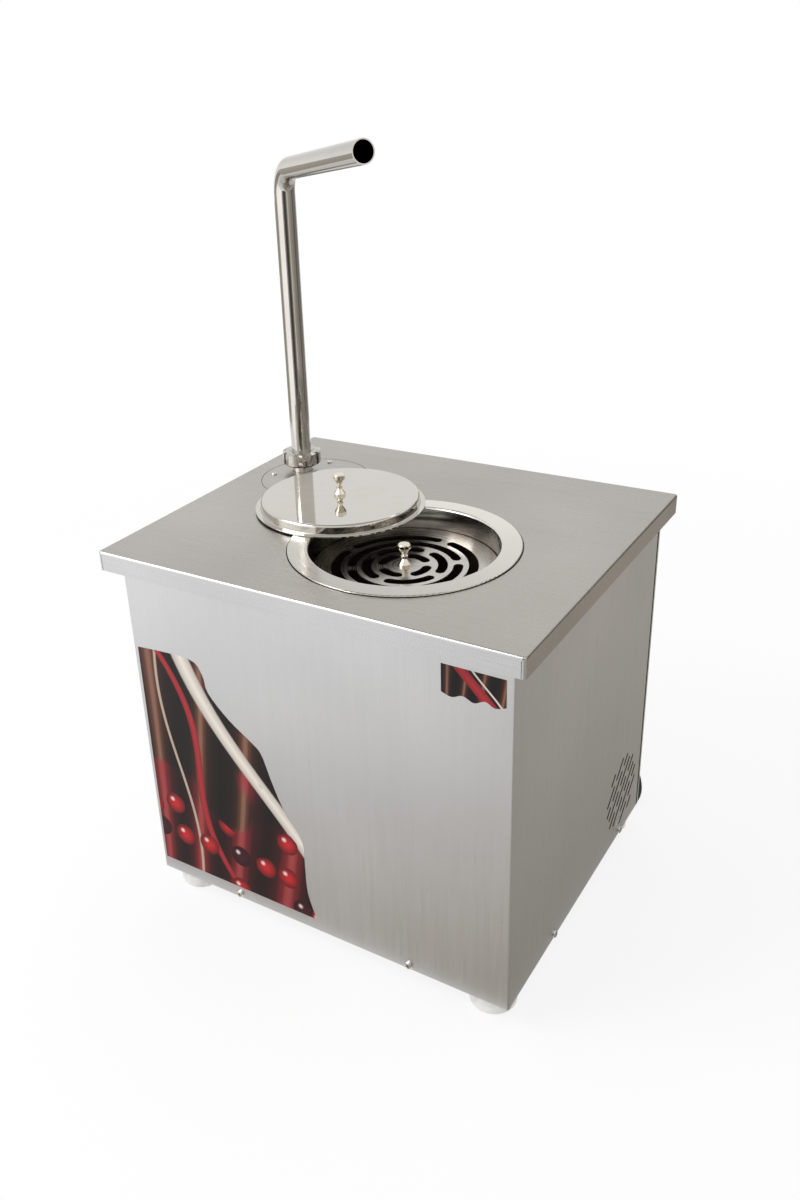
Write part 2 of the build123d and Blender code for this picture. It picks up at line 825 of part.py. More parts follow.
with BuildPart() as grate_nut:
    with BuildSketch(Plane.XY.offset(grate_bottom)):
        with Locations((bowl_x, bowl_y)):
            RegularPolygon(nut_across / 2, side_count=6, major_radius=False)
            Circle(stud_radius, mode=Mode.SUBTRACT)
    extrude(amount=-nut_height)
finish(grate_nut.part, "grate_nut")

lid_base = bowl_top + seat_gap
lid_top = lid_base + lid_height
lid_plane = Plane(origin=(lid_x, lid_y, 0), x_dir=(1, 0, 0), z_dir=(0, -1, 0))
lid_axis = Axis((lid_x, lid_y, 0), (0, 0, 1))
with BuildPart() as lid:
    with BuildSketch(lid_plane):
        with BuildLine():
            FilletPolyline((stud_radius + hole_gap, lid_top), (lid_top_radius, lid_top),
                           (lid_side, lid_base + sheet), (lid_lip, lid_base + sheet),
                           radius=(lid_edge_bend, lid_lip_bend))
            offset(amount=sheet, side=Side.RIGHT)
        make_face()
    revolve(axis=lid_axis)
finish(lid.part, "lid")

with BuildPart() as lid_knob:
    add(knob_section(lid_x, lid_y, lid_top))
    revolve(axis=lid_axis)
finish(lid_knob.part, "lid_knob")

with BuildPart() as lid_nut:
    with BuildSketch(Plane.XY.offset(lid_top - sheet)):
        with Locations((lid_x, lid_y)):
            RegularPolygon(nut_across / 2, side_count=6, major_radius=False)
            Circle(stud_radius, mode=Mode.SUBTRACT)
    extrude(amount=-nut_height)
finish(lid_nut.part, "lid_nut")

# Gear pump under the bowl: two meshing spur gears in a body with a front cover
pump_centre = (bowl_x, pump_z)
cover_screw_circle = gear_tip + tip_gap + pump_wall / 2
cover_screw_angle = 105.0
pump_screw_places = []
for centre_x, angles in ((drive_x, (cover_screw_angle, 180, -cover_screw_angle)),
                         (idler_x, (180 - cover_screw_angle, 0, cover_screw_angle - 180))):
    for angle in angles:
        across, along = polar(cover_screw_circle, angle)
        pump_screw_places.append((centre_x + across, pump_z + along))
spacer_places = [(drive_x + i * spacer_offset, pump_z + j * spacer_offset)
                 for i in (-1, 1) for j in (-1, 1)]
body_length = pump_back - cavity_front
with BuildPart() as pump_housing:
    with BuildSketch(Plane.XZ.offset(-pump_back)):
        with Locations(pump_centre):
            SlotCenterToCenter(2 * gear_pitch, 2 * pump_half_height)
    extrude(amount=body_length)
    with BuildSketch(Plane.XY.offset(riser_top)):
        with Locations((bowl_x, bowl_y)):
            Circle(neck_flange)
    extrude(amount=neck_bottom - riser_top)
    with BuildSketch(Plane.XZ.offset(-cavity_back)):
        with Locations((drive_x, pump_z), (idler_x, pump_z)):
            Circle(gear_tip + tip_gap)
    extrude(amount=cavity_back - cavity_front + overrun, mode=Mode.SUBTRACT)
    with BuildSketch(Plane.XZ.offset(-cavity_front)):
        with Locations(pump_centre):
            SlotCenterToCenter(2 * gear_pitch, 2 * pump_half_height)
    extrude(amount=neck_flange, mode=Mode.SUBTRACT)
    with BuildSketch(Plane.XY.offset(riser_top)):
        with Locations((bowl_x, bowl_y)):
            Circle(neck_bore)
    extrude(amount=neck_bottom - riser_top, mode=Mode.SUBTRACT)
    with BuildSketch(Plane.XZ.offset(-cavity_back)):
        with Locations((drive_x, pump_z), (idler_x, pump_z)):
            Circle(shaft_radius + running)
    extrude(amount=-bearing_depth, mode=Mode.SUBTRACT)
    with BuildSketch(Plane.XZ.offset(-pump_back)):
        with Locations((drive_x, pump_z)):
            Circle(shaft_radius + running)
    extrude(amount=pump_back_wall, mode=Mode.SUBTRACT)
    with BuildSketch(Plane.XZ.offset(-pump_back)):
        with Locations((drive_x, pump_z)):
            Circle(seal_radius)
    extrude(amount=seal_thickness, mode=Mode.SUBTRACT)
    with BuildSketch(Plane.XZ.offset(-cavity_front)):
        with Locations(*pump_screw_places):
            Circle(screw_hole)
    extrude(amount=-cover_screw_depth, mode=Mode.SUBTRACT)
finish(pump_housing.part, "pump_housing")

with BuildPart() as pump_cover:
    with BuildSketch(Plane.XZ.offset(-cavity_front)):
        with Locations(pump_centre):
            SlotCenterToCenter(2 * gear_pitch, 2 * pump_half_height)
        with Locations(*pump_screw_places):
            Circle(screw_hole, mode=Mode.SUBTRACT)
    extrude(amount=pump_cover_thickness)
    with BuildSketch(Plane.XZ.offset(-cavity_front)):
        with Locations((drive_x, pump_z), (idler_x, pump_z)):
            Circle(shaft_radius + running)
    extrude(amount=bearing_depth, mode=Mode.SUBTRACT)
finish(pump_cover.part, "pump_cover")

cover_face = cavity_front - pump_cover_thickness
with BuildPart() as pump_screws:
    with BuildSketch(Plane.XZ.offset(-cover_face)):
        with Locations(*pump_screw_places):
            Circle(cover_screw_radius)
    extrude(amount=cover_screw_head)
    with BuildSketch(Plane.XZ.offset(-cover_face - cover_screw_head)):
        with Locations(*pump_screw_places):
            RegularPolygon(cover_screw_socket, side_count=6)
    extrude(amount=-cover_screw_head / 2, mode=Mode.SUBTRACT)
    with BuildSketch(Plane.XZ.offset(-cover_face)):
        with Locations(*pump_screw_places):
            Circle(screw_shank_radius)
    extrude(amount=-(pump_cover_thickness + cover_screw_depth - hole_gap))
finish(pump_screws.part, "pump_screws")

with BuildPart() as shaft_seal:
    with BuildSketch(Plane.XZ.offset(-pump_back)):
        with Locations((drive_x, pump_z)):
            Circle(seal_radius)
            Circle(shaft_radius + running, mode=Mode.SUBTRACT)
    extrude(amount=seal_thickness)
finish(shaft_seal.part, "shaft_seal")


def flank(share):
    """Point of the right-hand involute flank, share 0 at its foot and 1 at the tip."""
    base = gear_pitch * math.cos(math.radians(pressure_angle))
    low = max(base, gear_root)
    radius = low + (gear_tip - low) * share
    angle = math.acos(min(base / radius, 1))
    pitch_angle = math.radians(pressure_angle)
    half = (math.pi * gear_module / 2 - gear_backlash / 2) / (2 * gear_pitch)
    turn = half + (math.tan(pitch_angle) - pitch_angle) - (math.tan(angle) - angle)
    return radius, turn


def gear_outline(phase):
    """Closed outline of the spur gear, tooth by tooth, in the plane's own coordinates."""
    points = []
    steps = 5
    for tooth in range(gear_teeth):
        middle = math.radians(phase) + 2 * math.pi * tooth / gear_teeth
        rising = [flank(step / steps) for step in range(steps + 1)]
        root_turn = rising[0][1]
        points.append((gear_root, middle - root_turn))
        points += [(radius, middle - turn) for radius, turn in rising]
        points += [(radius, middle + turn) for radius, turn in reversed(rising)]
        points.append((gear_root, middle + root_turn))
    return [(radius * math.cos(turn), radius * math.sin(turn)) for radius, turn in points]


gear_front = bowl_y - gear_width / 2
drive_front = cavity_front - bearing_depth + seat_gap
drive_back = gearbox_front + output_depth - seat_gap
half_tooth = 180 / gear_teeth
with BuildPart() as drive_gear:
    with BuildSketch(Plane.XZ.offset(-gear_front - gear_width)):
        with Locations((drive_x, pump_z)):
            Polygon(*gear_outline(0), align=None)
            Circle(shaft_radius, mode=Mode.SUBTRACT)
    extrude(amount=gear_width)
finish(drive_gear.part, "drive_gear")

with BuildPart() as drive_shaft:
    with BuildSketch(Plane.XZ.offset(-drive_back)):
        with Locations((drive_x, pump_z)):
            Circle(shaft_radius)
    extrude(amount=drive_back - drive_front)
finish(drive_shaft.part, "drive_shaft")

with BuildPart() as idler_gear:
    with BuildSketch(Plane.XZ.offset(-gear_front - gear_width)):
        with Locations((idler_x, pump_z)):
            Polygon(*gear_outline(half_tooth), align=None)
            Circle(shaft_radius, mode=Mode.SUBTRACT)
    extrude(amount=gear_width)
finish(idler_gear.part, "idler_gear")

idler_back = cavity_back + bearing_depth - seat_gap
with BuildPart() as idler_shaft:
    with BuildSketch(Plane.XZ.offset(-idler_back)):
        with Locations((idler_x, pump_z)):
            Circle(shaft_radius)
    extrude(amount=idler_back - drive_front)
finish(idler_shaft.part, "idler_shaft")

# Gearmotor behind the pump, on a bent stand
with BuildPart() as pump_spacers:
    with BuildSketch(Plane.XZ.offset(-gearbox_front)):
        with Locations(*spacer_places):
            Circle(spacer_radius)
    extrude(amount=spacer_length)
finish(pump_spacers.part, "pump_spacers")

with BuildPart() as gearbox:
    with BuildSketch(Plane.XZ.offset(-gearbox_back)):
        with Locations((drive_x, pump_z)):
            RectangleRounded(gearbox_side, gearbox_side, gearbox_corner)
    extrude(amount=gearbox_length)
    with BuildSketch(Plane.XZ.offset(-gearbox_front)):
        with Locations((drive_x, pump_z)):
            Circle(shaft_radius + running)
    extrude(amount=-output_depth, mode=Mode.SUBTRACT)
finish(gearbox.part, "gearbox")

motor_back = gearbox_back + motor_length
with BuildPart() as motor_can:
    with BuildSketch(Plane.XZ.offset(-motor_back)):
        with Locations((drive_x, pump_z)):
            Circle(motor_radius)
    extrude(amount=motor_length)
    fillet(motor_can.faces().sort_by(Axis.Y)[-1].edges(), radius=motor_collar)
    for number in range(motor_fins):
        groove = gearbox_back + (number + 1) * motor_length / (motor_fins + 1)
        with BuildSketch(Plane.XZ.offset(-groove)):
            with Locations((drive_x, pump_z)):
                Circle(motor_radius + overrun)
                Circle(motor_radius - motor_fin_depth, mode=Mode.SUBTRACT)
        extrude(amount=motor_fin_width, mode=Mode.SUBTRACT)
finish(motor_can.part, "motor_can")

with BuildPart() as motor_stand:
    with BuildSketch(Plane.YZ.offset(drive_x - stand_width / 2)):
        with BuildLine():
            FilletPolyline((gearbox_front - stand_foot, pan_top + stand_sheet),
                           (gearbox_front, pan_top + stand_sheet), (gearbox_front, stand_top),
                           (gearbox_back, stand_top), (gearbox_back, pan_top + stand_sheet),
                           (gearbox_back + stand_foot, pan_top + stand_sheet),
                           radius=stand_bend)
            offset(amount=stand_sheet, side=Side.RIGHT)
        make_face()
    extrude(amount=stand_width)
    with BuildSketch(Plane.XY.offset(pan_top)):
        with Locations(*stand_screw_places):
            Circle(screw_hole)
    extrude(amount=stand_sheet, mode=Mode.SUBTRACT)
finish(motor_stand.part, "motor_stand")

# Cooling fan behind the vent
fan_outer = inner_half
fan_inner = fan_outer - fan_depth
fan_plane = Plane(origin=(fan_inner, fan_y, fan_z), x_dir=(0, 1, 0), z_dir=(1, 0, 0))
with BuildPart() as fan_frame:
    with BuildSketch(fan_plane):
        RectangleRounded(fan_side, fan_side, fan_corner)
        Circle(fan_bore_radius, mode=Mode.SUBTRACT)
        Circle(fan_hub_radius)
        with PolarLocations((fan_hub_radius + fan_bore_radius) / 2, fan_struts, 45):
            Rectangle(fan_bore_radius - fan_hub_radius + fan_strut, fan_strut)
        with GridLocations(fan_hole_spacing, fan_hole_spacing, 2, 2):
            Circle(fan_stud_radius + hole_gap, mode=Mode.SUBTRACT)
    extrude(amount=fan_plate)
    with BuildSketch(fan_plane.offset(fan_plate)):
        RectangleRounded(fan_side, fan_side, fan_corner)
        Circle(fan_bore_radius, mode=Mode.SUBTRACT)
        with GridLocations(fan_hole_spacing, fan_hole_spacing, 2, 2):
            Circle(fan_stud_radius + hole_gap, mode=Mode.SUBTRACT)
    extrude(amount=fan_depth - fan_plate)
    with BuildSketch(fan_plane.offset(fan_plate)):
        Circle(fan_pin_radius)
    extrude(amount=fan_depth - 2 * fan_plate - fan_rim)
finish(fan_frame.part, "fan_frame")

rotor_depth = fan_depth - 2 * fan_plate
with BuildPart() as fan_rotor:
    with BuildSketch(fan_plane.offset(fan_plate + seat_gap)):
        Circle(fan_hub_radius)
    extrude(amount=rotor_depth)
    blade_middle = (fan_hub_radius + fan_bore_radius) / 2
    for number in range(fan_blades):
        turn = 360 / fan_blades * number
        blade = Location(fan_plane.offset(fan_plate + seat_gap + rotor_depth / 2))
        spin = Location((0, 0, 0), (0, 0, turn)) * Location((blade_middle, 0, 0))
        with Locations(blade * spin * Location((0, 0, 0), (fan_blade_angle, 0, 0))):
            Box(fan_bore_radius - fan_hub_radius + fan_plate, fan_blade_width, fan_blade_thickness)
    with BuildSketch(fan_plane.offset(fan_plate + seat_gap)):
        Circle(fan_bore_radius - fan_tip_gap)
    extrude(amount=rotor_depth, mode=Mode.INTERSECT)
    with BuildSketch(fan_plane.offset(fan_plate + seat_gap)):
        Circle(fan_pin_radius + running)
    extrude(amount=rotor_depth - fan_rim, mode=Mode.SUBTRACT)
finish(fan_rotor.part, "fan_rotor")

with BuildPart() as fan_studs:
    with BuildSketch(fan_plane.offset(-fan_nut_height - seat_gap)):
        with GridLocations(fan_hole_spacing, fan_hole_spacing, 2, 2):
            Circle(fan_stud_radius)
    extrude(amount=fan_depth + sheet + fan_nut_height + seat_gap)
    with BuildSketch(fan_plane):
        with GridLocations(fan_hole_spacing, fan_hole_spacing, 2, 2):
            RegularPolygon(fan_nut_radius, side_count=6, major_radius=False)
    extrude(amount=-fan_nut_height)
finish(fan_studs.part, "fan_studs")

# Temperature controller in the left-hand side
left_face = Plane(origin=(-casing_half, control_y, control_z), x_dir=(0, -1, 0),
                  z_dir=(-1, 0, 0))
bezel_face = left_face.offset(bezel_depth)
button_places = [((number - 1) * button_pitch, -control_height * button_row_share) for number in range(3)]
with BuildPart() as controller:
    with BuildSketch(left_face):
        RectangleRounded(bezel_width, bezel_height, bezel_depth)
    extrude(amount=bezel_depth)
    with BuildSketch(left_face):
        Rectangle(control_width, control_height)
    extrude(amount=-control_depth)
    with BuildSketch(bezel_face):
        with Locations((0, control_height * lens_row_share)):
            Rectangle(lens_width, lens_height)
    extrude(amount=-lens_depth, mode=Mode.SUBTRACT)
    with BuildSketch(bezel_face):
        with Locations(*button_places):
            Rectangle(button_width + 2 * seat_gap, button_height + 2 * seat_gap)
    extrude(amount=-button_lip, mode=Mode.SUBTRACT)
    with BuildSketch(bezel_face.offset(-button_lip)):
        with Locations(*button_places):
            Rectangle(button_width + 2 * (button_flange + seat_gap),
                      button_height + 2 * (button_flange + seat_gap))
    extrude(amount=-(button_flange + button_travel + 2 * seat_gap), mode=Mode.SUBTRACT)
finish(controller.part, "controller")

with BuildPart() as controller_lens:
    with BuildSketch(bezel_face):
        with Locations((0, control_height * lens_row_share)):
            Rectangle(lens_width, lens_height)
    extrude(amount=-lens_depth)
finish(controller_lens.part, "controller_lens")

for button_name, button_place in zip(("button_down", "button_set", "button_up"), button_places):
    with BuildPart() as button:
        with BuildSketch(bezel_face.offset(button_proud)):
            with Locations(button_place):
                Rectangle(button_width, button_height)
        extrude(amount=-(button_proud + button_lip + seat_gap))
        with BuildSketch(bezel_face.offset(-button_lip - seat_gap)):
            with Locations(button_place):
                Rectangle(button_width + 2 * button_flange, button_height + 2 * button_flange)
        extrude(amount=-button_flange)
    finish(button.part, button_name)

# Two rocker switches beside the controller: heating and pump
rocker_half = rocker_pocket_length / 2 - rocker_swing_gap
rocker_side = rocker_pocket_width - 2 * rocker_side_gap
for row, switch_name in enumerate(("heat", "pump")):
    switch_y = rocker_y + row * rocker_pitch
    switch_plane = Plane(origin=(-casing_half, switch_y, control_z), x_dir=(0, -1, 0),
                         z_dir=(-1, 0, 0))
    with BuildPart() as switch_body:
        with BuildSketch(switch_plane):
            Rectangle(rocker_case_width, rocker_case_height)
        extrude(amount=rocker_frame_depth)
        with BuildSketch(switch_plane):
            Rectangle(rocker_case_width - 2 * rocker_frame, rocker_case_height - 2 * rocker_frame)
        extrude(amount=-rocker_depth)
        with BuildSketch(switch_plane.offset(rocker_frame_depth)):
            Rectangle(rocker_pocket_width, rocker_pocket_length)
        extrude(amount=-rocker_frame_depth - rocker_pocket_depth, mode=Mode.SUBTRACT)
    finish(switch_body.part, switch_name + "_switch_body")
    tilt_x, tilt_z = polar(1, rocker_tilt)
    rocker_plane = Plane(origin=(-casing_half, switch_y, control_z), x_dir=(tilt_x, 0, tilt_z),
                         z_dir=(0, -1, 0))
    with BuildPart() as rocker:
        with BuildSketch(rocker_plane.offset(-rocker_side / 2)):
            with BuildLine():
                Polyline((-rocker_middle, 0), (-rocker_end, rocker_half), (0, rocker_half),
                         (rocker_back, rocker_half - rocker_taper),
                         (rocker_back, rocker_taper - rocker_half),
                         (0, -rocker_half), (-rocker_end, -rocker_half), close=True)
            make_face()
        extrude(amount=rocker_side)
    finish(rocker.part, switch_name + "_rocker")

# Terminal block and relay on the pan
block_x = block_from_side - casing_half
block_y = casing_front + block_from_front
relay_y = block_y + relay_from_block
with BuildPart() as terminal_block:
    with BuildSketch(Plane.XY.offset(pan_top)):
        with Locations((block_x, block_y)):
            Rectangle(block_width, block_length)
    extrude(amount=block_height)
    with BuildSketch(Plane.XY.offset(pan_top + block_height)):
        with Locations((block_x, block_y)):
            with GridLocations(block_width / 2, block_length / block_ways, 2, block_ways):
                Circle(screw_shank_radius)
    extrude(amount=-block_screw_depth, mode=Mode.SUBTRACT)
finish(terminal_block.part, "terminal_block")

with BuildPart() as relay:
    with BuildSketch(Plane.XY.offset(pan_top)):
        with Locations((block_x, relay_y)):
            Rectangle(relay_width, relay_length)
    extrude(amount=relay_height)
    chamfer(relay.faces().sort_by(Axis.Z)[-1].edges(), length=sheet)
finish(relay.part, "relay")

# Cord gland in the back cover
gland_axis = Axis((gland_x, 0, gland_z), (0, 1, 0))
gland_plane = Plane(origin=(gland_x, 0, gland_z), x_dir=(1, 0, 0), z_dir=(0, 0, 1))
gland_end = casing_back + gland_reach
with BuildPart() as cord_gland:
    with BuildSketch(gland_plane):
        with BuildLine():
            Polyline((0, pan_back - gland_nut_depth), (gland_flange, pan_back - gland_nut_depth),
                     (gland_flange, pan_back), (gland_thread, pan_back),
                     (gland_thread, casing_back), (gland_flange, casing_back),
                     (gland_flange, casing_back + gland_nut_depth),
                     (gland_thread, casing_back + 2 * gland_nut_depth),
                     (gland_tip, gland_end), (0, gland_end), close=True)
        make_face()
    revolve(axis=gland_axis)
finish(cord_gland.part, "cord_gland")

# Supply cord: out of the gland, round behind the foot and into a coil on the table
cord_points = [Vector(gland_x, gland_end, gland_z),
               Vector(gland_x, gland_end + cord_out, gland_z),
               Vector(cord_side_x, gland_end + cord_out, cord_side_z),
               Vector(cord_floor_x, cord_floor_y, cord_radius),
               Vector(cord_meet_x, cord_meet_y, cord_radius)]
cord_radii = []
for before, corner, after in zip(cord_points, cord_points[1:], cord_points[2:]):
    arriving = corner - before
    leaving = after - corner
    half_turn = math.radians(arriving.get_angle(leaving)) / 2
    shorter = min(arriving.length, leaving.length)
    cord_radii.append(bend_share * shorter / math.tan(half_turn))
print("cord bend radii", [round(radius, 1) for radius in cord_radii])
with BuildPart() as cord_tube:
    with BuildLine() as cord_path:
        FilletPolyline(*cord_points, radius=cord_radii)
    with BuildSketch(Plane(origin=cord_points[0], z_dir=(0, 1, 0))):
        Circle(cord_radius)
    sweep(path=cord_path.line)
cord_section = math.pi * cord_radius ** 2
print("cord volume", round(cord_tube.part.volume), "expected",
      round(cord_section * cord_path.wires()[0].length))
finish(cord_tube.part, "cord_tube")

# The unseen length is one round coil with a short straight lead at each end
last_run = (cord_points[-1] - cord_points[-2]).normalized()
with BuildPart() as cord_coil:
    with BuildSketch(Plane(origin=(coil_x, coil_y, 0), x_dir=(1, 0, 0), z_dir=(0, -1, 0))):
        with Locations((coil_radius, coil_bundle)):
            Circle(coil_bundle)
    revolve(axis=Axis((coil_x, coil_y, 0), (0, 0, 1)))
    with BuildSketch(Plane(origin=cord_points[-1], z_dir=last_run)):
        Circle(cord_radius)
    extrude(amount=cord_meet_x - coil_x)
    with BuildSketch(Plane(origin=(coil_tail_x, coil_y + coil_radius, plug_radius),
                           z_dir=(1, 0, 0))):
        Circle(cord_radius)
    extrude(amount=coil_x - coil_tail_x)
finish(cord_coil.part, "cord_coil")

with BuildPart() as plug:
    plug_axis = Axis((0, coil_y + coil_radius, plug_radius), (1, 0, 0))
    with BuildSketch(Plane(origin=(coil_tail_x, coil_y + coil_radius, plug_radius),
                           x_dir=(1, 0, 0), z_dir=(0, -1, 0))):
        with BuildLine():
            Polyline((0, 0), (0, plug_tail), (plug_neck, plug_tail + cord_radius),
                     (plug_neck, plug_radius), (plug_length, plug_radius), (plug_length, 0),
                     close=True)
        make_face()
    revolve(axis=plug_axis)
    with BuildSketch(Plane(origin=(coil_tail_x + plug_length, coil_y + coil_radius, plug_radius),
                           z_dir=(1, 0, 0))):
        with Locations((0, pin_pitch / 2), (0, -pin_pitch / 2)):
            Circle(pin_radius)
    extrude(amount=pin_length)
finish(plug.part, "plug")
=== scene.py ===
import math

import bmesh
import bpy
from bpy.props import FloatProperty, FloatVectorProperty, PointerProperty
from mathutils import Matrix, Vector


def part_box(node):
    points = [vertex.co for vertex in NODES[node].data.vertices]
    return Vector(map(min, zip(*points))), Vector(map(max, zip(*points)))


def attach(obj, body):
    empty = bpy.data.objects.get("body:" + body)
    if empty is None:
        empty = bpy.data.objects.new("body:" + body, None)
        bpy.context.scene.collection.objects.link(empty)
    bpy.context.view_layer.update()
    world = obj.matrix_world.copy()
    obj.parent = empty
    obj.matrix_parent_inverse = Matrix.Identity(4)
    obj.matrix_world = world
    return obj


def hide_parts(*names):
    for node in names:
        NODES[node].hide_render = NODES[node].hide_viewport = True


bl_info = {
    "name": "Tempering machine looks",
    "version": (1, 0, 0),
    "blender": (4, 5, 0),
    "location": "3D View > Sidebar > Machine",
    "description": "Finishes, cord, decals and stage for the chocolate tempering machine",
    "category": "Object",
}

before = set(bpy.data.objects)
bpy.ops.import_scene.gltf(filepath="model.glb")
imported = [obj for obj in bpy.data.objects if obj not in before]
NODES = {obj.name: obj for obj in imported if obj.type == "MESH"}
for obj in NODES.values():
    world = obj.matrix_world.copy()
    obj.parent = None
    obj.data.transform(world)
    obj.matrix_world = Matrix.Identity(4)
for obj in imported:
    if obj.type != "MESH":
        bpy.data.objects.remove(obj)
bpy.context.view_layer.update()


def middle(name):
    """The middle of a node's box, seen from above."""
    low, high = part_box(name)
    return (low.x + high.x) / 2, (low.y + high.y) / 2


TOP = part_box("worktop")[1].z
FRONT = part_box("casing_wrap")[0].y
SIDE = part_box("casing_wrap")[1].x
BOWL, LID, DISC, TUBE = (middle(name) for name in ("bowl", "lid", "cover_disc", "union_nut"))

# Glowing cards, seen only in reflections, in a ring round the spout: bearings in degrees, height in metres, tone
RING_RADIUS = 1.75
RING_CARDS = ((-202, -186, 0.65, 0.50), (-186, -160, 0.65, 0.36), (-160, -147, 1.1, 0.75), (-147, -88, 1.1, 1.35),
              (-88, -75, 1.1, 0.40), (-75, -48, 1.1, 0.08), (-48, -38, 1.1, 0.30), (-38, -27, 1.1, 0.72),
              (-27, -6, 1.1, 0.42), (-6, 20, 1.1, 0.30), (20, 36, 1.1, 0.15), (36, 76, 1.1, 0.24), (76, 98, 0.9, 0.55),
              (118, 158, 0.62, 0.30))

# Screws: x on the front, y on the sides, bearings on the disc; arms of a recess's painted shade cross: half its length
# and half its width
FRONT_SCREWS, SIDE_SCREWS, DISC_SCREWS = (-0.120, 0.120), (-0.075, 0.143), (104, 194, 284)
DISC_SCREW_RING = 0.057
RECESS_ARM = (0.0024, 0.00042)

SLOT_FIELD = 0.060                          # reach round the fan's middle that holds all the vent's slots
PUNCH_REACH = 0.006                         # how far the slots' punch stands out of the sheet on each side
WALL_TURN = 0.7                             # a face whose normal's x is under this is a slot's wall
COIL_TURNS, COIL_STEPS = 6.5, 12            # turns of the cord's coil, and points in a turn
SEAM_INSET, SEAM_WIDTH = 0.0042, 0.0005     # from the skirt's corner to its open seam, and across the seam
REAR_SHADE_SPAN = (0.2098, 0.2134)                 # y of the painted shade strip that stands for the gap before the back cover
VINYL_FACE, VINYL_BACK = 0.00015, 0.00001   # how far the two sides of a vinyl sheet stand before the panel
BLACK = (0.022, 0.022, 0.023)               # black plastic and rubber

# Outlines of the two vinyl sheets: x, and z below the worktop
FRONT_DECAL = [(-0.2365, -0.1259), (-0.1607, -0.1221), (-0.142, -0.1384), (-0.1359, -0.1611), (-0.1096, -0.1889),
               (-0.0799, -0.2099), (-0.0667, -0.2224), (-0.0555, -0.2551), (-0.0413, -0.2902), (-0.0185, -0.3253),
               (-0.0168, -0.3605), (-0.0155, -0.4029), (-0.005, -0.4383), (-0.2381, -0.4371)]
CORNER_DECAL = [(0.1647, -0.0395), (0.234, -0.0395), (0.234, -0.070), (0.222, -0.074), (0.212, -0.0695),
                (0.200, -0.0745), (0.188, -0.070), (0.176, -0.0745), (0.1647, -0.071)]


def colour_setting(name, description, default):
    return FloatVectorProperty(name=name, description=description, subtype="COLOR", size=3, min=0, max=1,
                               default=default)


def length_setting(name, description, low, high, default):
    return FloatProperty(name=name, description=description, subtype="DISTANCE", unit="LENGTH", min=low, max=high,
                         default=default)


def share_setting(name, description, low, default):
    return FloatProperty(name=name, description=description, subtype="FACTOR", min=low, max=1, default=default)


def power_setting(name, description, default):
    return FloatProperty(name=name, description=description, subtype="POWER", unit="POWER", min=0, max=500,
                         default=default)


class FinishSettings(bpy.types.PropertyGroup):
    """Colours and gloss of the machine's surfaces"""
    steel: colour_setting("Sheet steel", "Colour of the cabinet's brushed sheet", (0.66, 0.66, 0.665))
    worktop: colour_setting("Worktop", "Colour of the satin worktop", (0.45, 0.427, 0.398))
    polished: colour_setting("Polished steel", "Colour of the spout, lid, bowl and knobs", (0.60, 0.578, 0.54))
    feet: colour_setting("Feet", "Colour of the plastic feet", (0.88, 0.875, 0.85))
    sheet_roughness: share_setting("Sheet roughness", "How dull the brushed sheet is", 0.05, 0.36)
    polish_roughness: share_setting("Polish roughness", "How dull the polished steel is", 0.02, 0.1)


class VentSettings(bpy.types.PropertyGroup):
    """Sizes of the vent slots in the right side"""
    radius: length_setting("Field radius", "Radius of the round field of slots", 0.02, 0.055, 0.052)
    pitch: length_setting("Pitch", "Distance between neighbouring rows of slots", 0.006, 0.03, 0.0128)
    length: length_setting("Slot length", "Length of one slot, end to end", 0.01, 0.08, 0.042)
    width: length_setting("Slot width", "Width of one slot", 0.001, 0.006, 0.0045)
    tilt: FloatProperty(
        name="Slant", description="Angle of the slots above level",
        subtype="ANGLE", unit="ROTATION", min=0, max=1.571, default=math.radians(42))


class CordSettings(bpy.types.PropertyGroup):
    """Sizes of the supply cord"""
    diameter: length_setting("Cord diameter", "Outside diameter of the cord's sheath", 0.003, 0.012, 0.0066)
    coil_radius: length_setting("Coil radius", "Radius at the middle of the coil's turns", 0.02, 0.08, 0.037)


class StageSettings(bpy.types.PropertyGroup):
    """Light and floor round the machine"""
    key_power: power_setting("Key light", "Power of the large lamp at the front left", 38.0)
    fill_power: power_setting("Fill light", "Power of the lamp overhead", 16.0)
    floor: colour_setting("Floor", "Colour of the floor", (0.92, 0.92, 0.92))
    # The cards glow with these colours, though they are no lamps, and are seen only in the metal's reflections.
    right_card: colour_setting("Right card", "Colour of the dull cards that the right side reflects",
                               (0.41, 0.385, 0.345))
    front_card: colour_setting("Front card", "Colour of the dull card on the floor by the front panel's right end",
                               (0.40, 0.36, 0.31))


